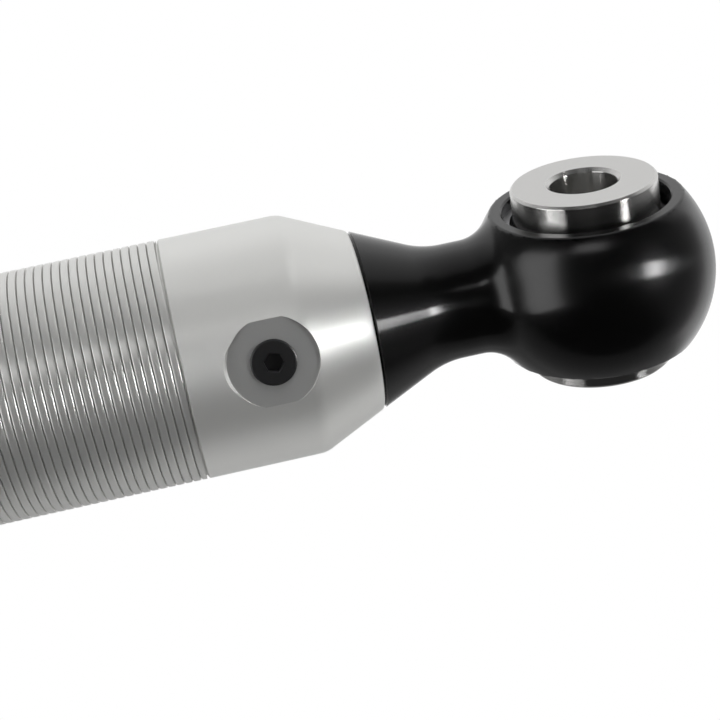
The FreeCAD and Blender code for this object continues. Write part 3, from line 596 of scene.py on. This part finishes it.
def make_eye(name, ending):
    """The turned eye, then its flats, its cross bore and the broken rims of the flats."""
    eye = turned(name, eye_outline() + ending)
    reach = EYE_RADIUS * 1.1
    for side in (1, -1):
        beside = (side * (EYE_FLAT + reach / 2), 0, 0)
        cut_away(eye, block("flat_cutter", (reach, 2 * reach, 2 * reach), beside))
    rim_inside = math.sqrt(EYE_RADIUS ** 2 - EYE_FLAT ** 2) - mm(0.2)

    def on_flat(place):
        return abs(abs(place.x) - EYE_FLAT) < FLAT_TOLERANCE

    def on_rim(place):
        return on_flat(place) and math.hypot(place.y, place.z) > rim_inside

    cutter = bearing_cutter()
    aim(cutter, (1, 0, 0))
    cut_away(eye, cutter)
    pick(eye, "EDGE", on_rim)
    bpy.ops.mesh.remove_doubles(threshold=mm(0.15))
    pick(eye, "EDGE", on_rim)
    bpy.ops.mesh.bevel(offset=EDGE_BREAK, segments=2, affect="EDGES")
    bpy.ops.object.mode_set(mode="OBJECT")
    smooth(eye, angle=30)
    keep_flat(eye, on_flat)
    return eye


def make_upper_eye():
    """The eye with the dark gap under its cone and the spigot that screws into the body."""
    spigot_end = JOINT_HEIGHT - SPIGOT_LENGTH
    relief = JOINT_RADIUS - JOINT_GAP
    relief_top = JOINT_HEIGHT + JOINT_GAP * 0.6
    eye = make_eye("upper_eye_ball", [
        (relief, relief_top),
        (relief, JOINT_HEIGHT),
        (SPIGOT_RADIUS, JOINT_HEIGHT),
        (SPIGOT_RADIUS, spigot_end + SPIGOT_CHAMFER),
        (SPIGOT_RADIUS - SPIGOT_CHAMFER, spigot_end),
    ])
    return fit(eye, "upper_eye", "damper", "black_anodised")


def make_lower_eye():
    """The same eye upside down, with a flange for the perch and a socket for the rod."""
    flange_end = JOINT_HEIGHT - FLANGE_HEIGHT
    eye = make_eye("lower_eye_ball", [
        (JOINT_RADIUS, JOINT_HEIGHT),
        (JOINT_RADIUS, flange_end + EDGE_BREAK),
        (JOINT_RADIUS - EDGE_BREAK, flange_end),
        (ROD_SOCKET, flange_end),
        (ROD_SOCKET, flange_end + ROD_SOCKET_SINK),
    ])
    eye.matrix_world = Matrix.Translation((0, 0, LOWER_EYE_HEIGHT)) @ Matrix.Rotation(math.pi, 4, "X")
    set_down(eye)
    return fit(eye, "lower_eye", "rod_assembly", "black_anodised")


def make_spacer(end, side):
    """A stepped spacer: shank in the ball, cone, and the rim whose face the bracket clamps."""
    node = f"{end}_spacer_{side}"
    low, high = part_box(node)
    face = max(-low.x, high.x)
    spacer = turned(f"{end}_{side}_spacer", broken([
        (BOLT_BORE, SPACER_SHANK_END),
        (SPACER_SHANK, SPACER_SHANK_END),
        (SPACER_SHANK, BALL_FACE),
        (SPACER_SEAT, BALL_FACE),
        (SPACER_RADIUS, face - SPACER_RIM),
        (SPACER_RADIUS, face - SPACER_CHAMFER),
        (SPACER_RADIUS - SPACER_CHAMFER, face),
        (BOLT_BORE + BOLT_BORE_CHAMFER, face),
        (BOLT_BORE, face - BOLT_BORE_CHAMFER),
    ], SPACER_BREAK), hollow=True)
    aim(spacer, (middle(node).x, 0, 0))
    shift(spacer, (0, 0, middle(node).z))
    smooth(spacer)
    for polygon in spacer.data.polygons:
        polygon.material_index = int(abs(polygon.center.x) > face - FLAT_TOLERANCE)
    turned_finish = "stainless" if end == "upper" else "lower_stainless"
    return fit(spacer, node, f"{end}_spacers", "stainless", [turned_finish, "faced_stainless"])


# The spring and what holds it.


def make_collar():
    """The threaded ring, with spanner notches, a clamp slit and the counterbore of its pinch screw."""
    collar = turned("collar_ring", broken([
        (COLLAR_BORE, collar_low.z),
        (COLLAR_RADIUS - COLLAR_CHAMFER, collar_low.z),
        (COLLAR_RADIUS, collar_low.z + COLLAR_CHAMFER),
        (COLLAR_RADIUS, collar_high.z - COLLAR_CHAMFER),
        (COLLAR_RADIUS - COLLAR_CHAMFER, collar_high.z),
        (COLLAR_BORE, collar_high.z),
    ], RING_BREAK), hollow=True)
    screw = middle("collar_pinch_screw")
    tall = 2 * (collar_high.z - collar_low.z)
    notch_width, notch_sink = mm(7), mm(4)
    notch_size = (notch_width, notch_sink * 4, tall)
    for number in range(1, NOTCH_PLACES):
        notch = block("notch", notch_size, (0, -COLLAR_RADIUS - notch_sink, screw.z))
        notch.matrix_world = Matrix.Rotation(math.radians(360 / NOTCH_PLACES * number), 4, "Z")
        set_down(notch)
        cut_away(collar, notch)
    slit_width, slit_length = mm(2), COLLAR_RADIUS * 1.2
    cut_away(collar, block("slit", (slit_width, slit_length, tall), (0, -slit_length / 2, screw.z)))
    hole, hole_end = mm(2), -mm(10)
    head_room, head_seat = mm(3.7), mm(8)
    counterbore = turned("counterbore", [
        (hole, hole_end),
        (hole, head_seat),
        (head_room, head_seat),
        (head_room, COLLAR_RADIUS),
    ], PLAIN_SIDES)
    aim(counterbore, (1, 0, 0))
    shift(counterbore, (0, screw.y, screw.z))
    cut_away(collar, counterbore)
    smooth(collar)
    return fit(collar, "adjuster_collar", "collar", "machined_aluminium")


def make_seat():
    """The flanged ring on top of the spring."""
    face = seat_high.z - SEAT_PLATE
    seat = turned("spring_seat_ring", broken([
        (SEAT_BORE, seat_low.z),
        (SPRING_HUB - SEAT_CHAMFER, seat_low.z),
        (SPRING_HUB, seat_low.z + SEAT_CHAMFER),
        (SPRING_HUB, face),
        (SEAT_RADIUS, face),
        (SEAT_RADIUS, seat_high.z - SEAT_CHAMFER),
        (SEAT_RADIUS - SEAT_CHAMFER, seat_high.z),
        (SEAT_BORE, seat_high.z),
    ], RING_BREAK), hollow=True)
    smooth(seat)
    return fit(seat, "upper_spring_seat", "spring_seat", "machined_aluminium")


def make_perch():
    """The slotted plate under the spring."""
    face = perch_low.z + PERCH_PLATE
    recess_top = perch_low.z + PERCH_RECESS_SINK
    perch = turned("perch_plate", broken([
        (PERCH_SLOT, recess_top),
        (PERCH_RECESS, recess_top),
        (PERCH_RECESS, perch_low.z),
        (SEAT_RADIUS - SEAT_CHAMFER, perch_low.z),
        (SEAT_RADIUS, perch_low.z + SEAT_CHAMFER),
        (SEAT_RADIUS, face),
        (SPRING_HUB, face),
        (SPRING_HUB, perch_high.z - SEAT_CHAMFER),
        (SPRING_HUB - SEAT_CHAMFER, perch_high.z),
        (PERCH_SLOT, perch_high.z),
    ], RING_BREAK), hollow=True)
    reach = SEAT_RADIUS * 1.2
    tall = mm(60)
    cut_away(perch, block("rod_slot", (PERCH_SLOT * 2, reach, tall), (0, reach / 2, face)))
    smooth(perch)
    return fit(perch, "lower_spring_perch", "rod_assembly", "machined_aluminium")


def make_bump_stop():
    """Two soft lobes with a waist between them."""
    waist = (stop_low.z + stop_high.z) / 2
    lobe, groove = stop_high.x, mm(4)
    waist_radius, tip_radius = mm(15.5), mm(14)
    outline = [
        (STOP_BORE, stop_low.z),
        (lobe, stop_low.z),
        (lobe, waist - groove),
        (waist_radius, waist),
        (lobe, waist + groove),
        (tip_radius, stop_high.z),
        (STOP_BORE, stop_high.z),
    ]
    for size in (mm(1.6), mm(0.6), mm(0.25)):
        outline = broken(outline, size)
    stop = turned("bump_stop_rubber", outline, PLAIN_SIDES, hollow=True)
    smooth(stop, angle=50)
    return fit(stop, "bump_stop", "rod_assembly", "bump_rubber")


def make_cup():
    """The shallow cup that the bump stop sits in."""
    inside = cup_high.x - mm(1.6)
    floor = cup_low.z + mm(2)
    edge = mm(0.3)
    cup = turned("bump_cup", broken([
        (STOP_BORE, cup_low.z),
        (cup_high.x, cup_low.z),
        (cup_high.x, cup_high.z),
        (inside, cup_high.z),
        (inside, floor),
        (STOP_BORE, floor),
    ], edge), PLAIN_SIDES, hollow=True)
    smooth(cup)
    return fit(cup, "bump_stop_cup", "rod_assembly", "machined_aluminium")


def coil_height(turn, turns):
    """Height of the wire's middle after some turns; the end turns are closed, the rest open."""
    sunk = mm(2.4)
    active_pitch = (spring_high.z - spring_low.z + 2 * sunk - 2 * CLOSED_PITCH) / ACTIVE_TURNS
    blend = 0.25

    def climbed(at):
        opened = min(max((at - 1 + blend) / (2 * blend), 0), 1)
        eased = 2 * blend * (opened ** 3 - opened ** 4 / 2)
        return eased + max(at - 1 - blend, 0)

    open_turns = climbed(turn)
    if turn > turns / 2:
        open_turns = ACTIVE_TURNS - climbed(turns - turn)
    return spring_low.z - sunk + CLOSED_PITCH * (turn - open_turns) + active_pitch * open_turns


def make_spring():
    """Round wire wound with closed end turns and ground flat at both ends."""
    turns = ACTIVE_TURNS + 2
    clear_bench()
    bpy.ops.curve.primitive_nurbs_path_add()
    spring = bpy.context.object
    spring.name = "spring"
    wire = spring.data
    wire.splines.clear()
    path = wire.splines.new("POLY")
    path.points.add(turns * TURN_STEPS)
    for number, point in enumerate(path.points):
        turn = number / TURN_STEPS
        angle = 2 * math.pi * turn
        height = coil_height(turn, turns)
        point.co = (COIL_RADIUS * math.cos(angle), COIL_RADIUS * math.sin(angle), height, 1)
    wire.dimensions = "3D"
    wire.bevel_depth = WIRE / 2
    wire.bevel_resolution = 8
    wire.use_fill_caps = True
    hold(spring)
    bpy.ops.object.convert(target="MESH")
    set_down(spring)
    weld(spring, WELD_GAP)
    face_outward(spring)
    seat_gap = Vector((0, 0, mm(0.1)))
    slice_off(spring, spring_high - seat_gap, (0, 0, 1), True)
    slice_off(spring, spring_low, (0, 0, -1), True)
    smooth(spring, angle=40)
    dressed = fit(spring, "coil_spring", "rod_assembly", "spring_coat")
    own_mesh(spring)
    return dressed


# Finishes.

RING_RELIEF = mm(0.02)
GRAIN_RELIEF = mm(0.2)
COAT_ROUGHNESS = 0.35
STEP_ROUGHNESS = 0.04


def new_group(name, inputs, output):
    group = bpy.data.node_groups.new(name, "ShaderNodeTree")
    for label, kind in inputs:
        group.interface.new_socket(label, in_out="INPUT", socket_type=kind)
    group.interface.new_socket(output, in_out="OUTPUT", socket_type="NodeSocketFloat")
    entry = group.nodes.new("NodeGroupInput")
    leave = group.nodes.new("NodeGroupOutput")
    return group, entry, leave


def maths(tree, operation, *values):
    node = tree.nodes.new("ShaderNodeMath")
    node.operation = operation
    for number, value in enumerate(values):
        if isinstance(value, (int, float)):
            node.inputs[number].default_value = value
        else:
            tree.links.new(value, node.inputs[number])
    return node.outputs[0]


def build_turning_marks():
    """Fine rings left by the lathe, about the Z axis of the position that is given."""
    inputs = [("Position", "NodeSocketVector"), ("Rings per metre", "NodeSocketFloat")]
    group, entry, leave = new_group("turning marks", inputs, "Marks")
    apart = group.nodes.new("ShaderNodeSeparateXYZ")
    group.links.new(entry.outputs["Position"], apart.inputs[0])
    across = maths(group, "MULTIPLY", apart.outputs[0], apart.outputs[0])
    along = maths(group, "MULTIPLY_ADD", apart.outputs[1], apart.outputs[1], across)
    radius = maths(group, "SQRT", along)
    radius_share = 0.8
    travel = maths(group, "MULTIPLY_ADD", radius, radius_share, apart.outputs[2])
    place = maths(group, "MULTIPLY", travel, entry.outputs["Rings per metre"])
    noise = group.nodes.new("ShaderNodeTexNoise")
    noise.noise_dimensions = "1D"
    noise.inputs["Scale"].default_value = 1
    noise.inputs["Detail"].default_value = 3
    noise.inputs["Roughness"].default_value = 0.65
    group.links.new(place, noise.inputs["W"])
    group.links.new(noise.outputs[0], leave.inputs["Marks"])
    return group


def build_soft_patches():
    """Slow, weak changes over a surface, or its grain where the patches are small."""
    inputs = [("Position", "NodeSocketVector"), ("Patches per metre", "NodeSocketFloat")]
    group, entry, leave = new_group("soft patches", inputs, "Patches")
    noise = group.nodes.new("ShaderNodeTexNoise")
    noise.inputs["Detail"].default_value = 4
    noise.inputs["Roughness"].default_value = 0.6
    group.links.new(entry.outputs["Position"], noise.inputs["Vector"])
    group.links.new(entry.outputs["Patches per metre"], noise.inputs["Scale"])
    group.links.new(noise.outputs[0], leave.inputs["Patches"])
    return group


TURNING_MARKS = build_turning_marks()
SOFT_PATCHES = build_soft_patches()


def add_effect(tree, group, position, label, density):
    """Place a shared effect in a material, so many to the metre."""
    effect = tree.nodes.new("ShaderNodeGroup")
    effect.node_tree = group
    effect.inputs[label].default_value = density
    tree.links.new(position, effect.inputs["Position"])
    return effect.outputs[0]


def add_relief(tree, shader, height, strength, distance):
    raised = tree.nodes.new("ShaderNodeBump")
    raised.inputs["Strength"].default_value = strength
    raised.inputs["Distance"].default_value = distance
    tree.links.new(height, raised.inputs["Height"])
    tree.links.new(raised.outputs[0], shader.inputs["Normal"])


def past_tool_step(tree, position, step):
    """One beyond the step that the tool left on each eye, on the outer side, and nought elsewhere."""
    apart = tree.nodes.new("ShaderNodeSeparateXYZ")
    tree.links.new(position, apart.inputs[0])
    above = maths(tree, "GREATER_THAN", apart.outputs[2], step)
    below = maths(tree, "LESS_THAN", apart.outputs[2], LOWER_EYE_HEIGHT - step)
    return maths(tree, "ADD", above, below)


def finish(name, colour, metallic, roughness, gloss_change=0.04, marks=0, rings=2500, ring_axis="Z",
           centre=(0, 0, 0), spread=0, ior=1.5, bump=0, patches=40, step=0, coat=0):
    """A material whose gloss wanders a little, with lathe rings where the piece was turned."""
    material = bpy.data.materials.new(name)
    material.use_nodes = True
    tree = material.node_tree
    shader = tree.nodes["Principled BSDF"]
    shader.inputs["Base Color"].default_value = (*colour, 1)
    shader.inputs["Metallic"].default_value = metallic
    shader.inputs["IOR"].default_value = ior
    shader.inputs["Coat Weight"].default_value = coat
    shader.inputs["Coat Roughness"].default_value = COAT_ROUGHNESS
    where = tree.nodes.new("ShaderNodeTexCoord")
    turn = tree.nodes.new("ShaderNodeMapping")
    turn.vector_type = "TEXTURE"
    turn.inputs["Location"].default_value = centre
    if ring_axis == "X":
        turn.inputs["Rotation"].default_value = (0, math.radians(90), 0)
    tree.links.new(where.outputs["Object"], turn.inputs["Vector"])
    patch = add_effect(tree, SOFT_PATCHES, turn.outputs[0], "Patches per metre", patches)
    wander = tree.nodes.new("ShaderNodeMapRange")
    wander.inputs["To Min"].default_value = roughness - gloss_change
    wander.inputs["To Max"].default_value = roughness + gloss_change
    tree.links.new(patch, wander.inputs["Value"])
    gloss = wander.outputs[0]
    if step:
        beyond = past_tool_step(tree, where.outputs["Object"], step)
        gloss = maths(tree, "MULTIPLY_ADD", beyond, STEP_ROUGHNESS, gloss)
    tree.links.new(gloss, shader.inputs["Roughness"])
    if marks:
        lathe = add_effect(tree, TURNING_MARKS, turn.outputs[0], "Rings per metre", rings)
        add_relief(tree, shader, lathe, marks, RING_RELIEF)
    elif bump:
        add_relief(tree, shader, patch, bump, GRAIN_RELIEF)
    if spread:
        shader.inputs["Anisotropic"].default_value = spread
        shader.inputs["Anisotropic Rotation"].default_value = 0.25
        lay = tree.nodes.new("ShaderNodeTangent")
        lay.direction_type = "RADIAL"
        lay.axis = ring_axis
        tree.links.new(lay.outputs[0], shader.inputs["Tangent"])
    return material


def make_finishes():
    steel = dict(colour=(0.76, 0.755, 0.74), metallic=1, roughness=0.2, marks=0.5, rings=8000,
                 ring_axis="X", spread=1.0)
    return {
        "bright_anodised": finish(
            "clear anodised", (0.78, 0.78, 0.76), metallic=0.6, roughness=0.44, marks=0.1, spread=0.6),
        "cut_thread": finish(
            "cut thread", (0.75, 0.75, 0.73), metallic=0.7, roughness=0.34, spread=0.5),
        "spot_face": finish(
            "milled spot-face", (0.70, 0.70, 0.69), metallic=0.75, roughness=0.4, bump=0.15, patches=700),
        "black_anodised": finish(
            "black anodised", (0.001, 0.001, 0.0011), metallic=0, roughness=0.16, marks=0.3, rings=4000,
            spread=0.95, ior=1.47, step=TOOL_STEP, coat=0.25),
        "faced_stainless": finish(
            "faced stainless", (0.83, 0.825, 0.81), metallic=1, roughness=0.42, bump=0.1, patches=900),
        "stainless": finish("turned stainless", **steel),
        "lower_stainless": finish("turned stainless, lower end", centre=(0, 0, LOWER_EYE_HEIGHT), **steel),
        "bearing_steel": finish("bearing steel", (0.55, 0.55, 0.55), metallic=1, roughness=0.12),
        "black_oxide": finish("black oxide", (0.012, 0.012, 0.013), metallic=0, roughness=0.4, ior=1.6),
        "spring_steel": finish("spring steel", (0.45, 0.45, 0.46), metallic=1, roughness=0.45),
        "chromed_rod": finish(
            "hard chrome", (0.60, 0.61, 0.62), metallic=1, roughness=0.07, gloss_change=0.01),
        "machined_aluminium": finish(
            "machined aluminium", (0.78, 0.78, 0.77), metallic=1, roughness=0.3, marks=0.2, spread=0.8),
        "spring_coat": finish(
            "powder coat", (0.02, 0.02, 0.022), metallic=0, roughness=0.32, bump=0.15, patches=900),
        "seal_rubber": finish("seal rubber", (0.015, 0.015, 0.015), metallic=0, roughness=0.55),
        "band_plastic": finish("bearing band plastic", (0.20, 0.14, 0.09), metallic=0, roughness=0.45),
        "bush_bronze": finish("bush bronze", (0.55, 0.38, 0.20), metallic=1, roughness=0.3),
        "bump_rubber": finish(
            "moulded rubber", (0.62, 0.42, 0.10), metallic=0, roughness=0.5, bump=0.1, patches=500),
    }


def dress(finishes, pieces):
    """Give each solid that still shows the finish of its slot, and each new piece its own."""
    for part in frame["record"]["subparts"]:
        shown = frame["nodes"][part["node"]].data
        shown.materials.clear()
        shown.materials.append(finishes[part["material_slot"]])
    for piece, names in pieces:
        faces = [face.material_index for face in piece.data.polygons]
        piece.data.materials.clear()
        for name in names:
            piece.data.materials.append(finishes[name])
        piece.data.polygons.foreach_set("material_index", faces)


# The camera, at the photograph's viewing angle.

RIGHT = Vector((0.161952, -0.159321, 0.973852))
UP = Vector((-0.893426, 0.395362, 0.213258))
BACK = Vector((-0.419000, -0.904603, -0.078312))
CAMERA_PLACE = Vector((-0.152170, -0.350018, -0.089234))
LENS = 80.83
SENSOR = 36


def place_camera():
    clear_bench()
    bpy.ops.object.camera_add()
    camera = bpy.context.object
    camera.name = "photo_camera"
    turn = Matrix((RIGHT, UP, BACK)).transposed().to_4x4()
    camera.matrix_world = Matrix.Translation(CAMERA_PLACE) @ turn
    camera.data.sensor_width = SENSOR
    camera.data.lens = LENS
    camera.data.clip_start = 0.01
    camera.data.clip_end = 100
    bpy.context.scene.camera = camera


# The studio: white all round, with cards and lamps that the gloss of the metal picks up.

STUDIO_MIDDLE = Vector((0, 0, -mm(50)))
SOFT_LIGHT = 0.22
WHITE = 1
LAMP_SIZE = 1.6
FLOOR_SIZE = 3.6
FLOOR_GAP = mm(0.5)


def in_studio(steps):
    """Steps to the camera's right, up and back."""
    return RIGHT * steps[0] + UP * steps[1] + BACK * steps[2]


def glow(name, tone, end_tone):
    """A lit sheet whose tone runs from one end of its height to the other."""
    material = bpy.data.materials.new(name)
    material.use_nodes = True
    tree = material.node_tree
    tree.nodes.clear()
    light = tree.nodes.new("ShaderNodeEmission")
    light.inputs["Color"].default_value = (1, 1, 1, 1)
    where = tree.nodes.new("ShaderNodeTexCoord")
    apart = tree.nodes.new("ShaderNodeSeparateXYZ")
    tree.links.new(where.outputs["Object"], apart.inputs[0])
    run = tree.nodes.new("ShaderNodeMapRange")
    run.inputs["From Min"].default_value = -1
    run.inputs["To Min"].default_value = tone
    run.inputs["To Max"].default_value = end_tone
    tree.links.new(apart.outputs[1], run.inputs["Value"])
    tree.links.new(run.outputs[0], light.inputs["Strength"])
    out = tree.nodes.new("ShaderNodeOutputMaterial")
    tree.links.new(light.outputs[0], out.inputs["Surface"])
    return material


def card(name, centre, half_width, half_height, tone, end_tone=None):
    """A flat card that only reflections see, laid out in steps to the right, up and back."""
    clear_bench()
    bpy.ops.mesh.primitive_plane_add(size=2)
    sheet = bpy.context.object
    sheet.name = name
    wide = in_studio(half_width)
    tall = in_studio(half_height)
    turn = Matrix((wide, tall, wide.cross(tall).normalized())).transposed().to_4x4()
    sheet.matrix_world = Matrix.Translation(STUDIO_MIDDLE + in_studio(centre)) @ turn
    sheet.data.materials.append(glow(name, tone, tone if end_tone is None else end_tone))
    sheet.visible_camera = False
    sheet.visible_diffuse = False
    sheet.visible_transmission = False
    sheet.visible_shadow = False


def soft_disc(name, steps, power):
    """A large round lamp that points at the middle of the studio and leaves no reflection."""
    clear_bench()
    bpy.ops.object.light_add(type="AREA", location=STUDIO_MIDDLE + in_studio(steps))
    lamp = bpy.context.object
    lamp.name = name
    lamp.data.shape = "DISK"
    lamp.data.size = LAMP_SIZE
    lamp.data.energy = power
    lamp.rotation_euler = (STUDIO_MIDDLE - lamp.location).to_track_quat("-Z", "Y").to_euler()
    lamp.visible_glossy = False


def background(tree, strength):
    sky = tree.nodes.new("ShaderNodeBackground")
    sky.inputs["Color"].default_value = (1, 1, 1, 1)
    sky.inputs["Strength"].default_value = strength
    return sky.outputs[0]


def light_world():
    """Seen directly or in a reflection the surroundings are white; as light they stay soft."""
    world = bpy.data.worlds.new("studio")
    bpy.context.scene.world = world
    world.use_nodes = True
    tree = world.node_tree
    tree.nodes.clear()
    rays = tree.nodes.new("ShaderNodeLightPath")
    seen = maths(tree, "ADD", rays.outputs["Is Camera Ray"], rays.outputs["Is Glossy Ray"])
    seen = maths(tree, "ADD", seen, rays.outputs["Is Transmission Ray"])
    mix = tree.nodes.new("ShaderNodeMixShader")
    tree.links.new(seen, mix.inputs[0])
    tree.links.new(background(tree, SOFT_LIGHT), mix.inputs[1])
    tree.links.new(background(tree, WHITE), mix.inputs[2])
    out = tree.nodes.new("ShaderNodeOutputWorld")
    tree.links.new(mix.outputs[0], out.inputs["Surface"])


def light_studio():
    soft_disc("soft_lamp", (0.52, 2.2, 1.2), power=52)
    soft_disc("table_bounce", (1.3, -2, -0.9), power=55)
    card("overhead back", (0, 1.5, -2.6), (2.4, 0, 0), (0, 0, 1.8), tone=0.74)
    card("overhead", (0, 1.5, 0.225), (2.4, 0, 0), (0, 0, 1.025), tone=0.82, end_tone=0.1)
    card("overhead corner", (1.575, 1.45, 1.19), (0.825, 0, 0), (0, 0, 0.61), tone=0.02)
    card("overhead front", (0, 1.5, 1.525), (2.4, 0, 0), (0, 0, 0.275), tone=0.02)
    card("table back", (0, -1.5, -3.9), (2.4, 0, 0), (0, 0, 2.4), tone=0.35, end_tone=0.2)
    card("table", (0, -1.5, -0.75), (2.4, 0, 0), (0, 0, 0.75), tone=0.30, end_tone=0.09)
    card("table front", (0, -1.5, 0.9), (2.4, 0, 0), (0, 0, 0.9), tone=0.02)
    card("dark front", (0, 0, 1.8), (2.4, 0, 0), (0, 1.5, 0), tone=0.02)
    card("front strip", (-0.27, 0.54, 1.6), (0.4, 0, 0), (0, 0.12, 0), tone=1.7)
    card("right wall", (2.4, 0, 0.3), (0, 1.5, 0), (0, 0, 1.5), tone=0.25, end_tone=0.02)
    card("left wall", (-2.4, 0, -0.7), (0, 1.5, 0), (0, 0, 2.5), tone=0.28, end_tone=0.02)
    card("left window", (-1.35, -0.40, 0.795), (0.25, 0, 0.515), (0, 0.79, 0), tone=2.0)
    card("key lamp", (1.32, -0.01, 1.05), (-0.09, 0, 0.113), (0, 0.17, 0), tone=33)


def lay_floor():
    clear_bench()
    bpy.ops.mesh.primitive_plane_add(size=FLOOR_SIZE, location=(0, 0, cad_box[0][2] - FLOOR_GAP))
    floor = bpy.context.object
    floor.name = "floor"
    floor.data.materials.append(finish("pale floor", (0.86, 0.86, 0.86), metallic=0, roughness=0.8))
    floor.visible_glossy = False


pieces = [
    make_body(),
    make_port_screw(),
    make_upper_eye(),
    make_lower_eye(),
    make_spacer("upper", "left"),
    make_spacer("upper", "right"),
    make_spacer("lower", "left"),
    make_spacer("lower", "right"),
    make_collar(),
    make_seat(),
    make_spring(),
    make_perch(),
    make_bump_stop(),
    make_cup(),
]
dress(make_finishes(), pieces)
place_camera()
light_world()
light_studio()
lay_floor()

bpy.context.scene.view_settings.view_transform = "Standard"
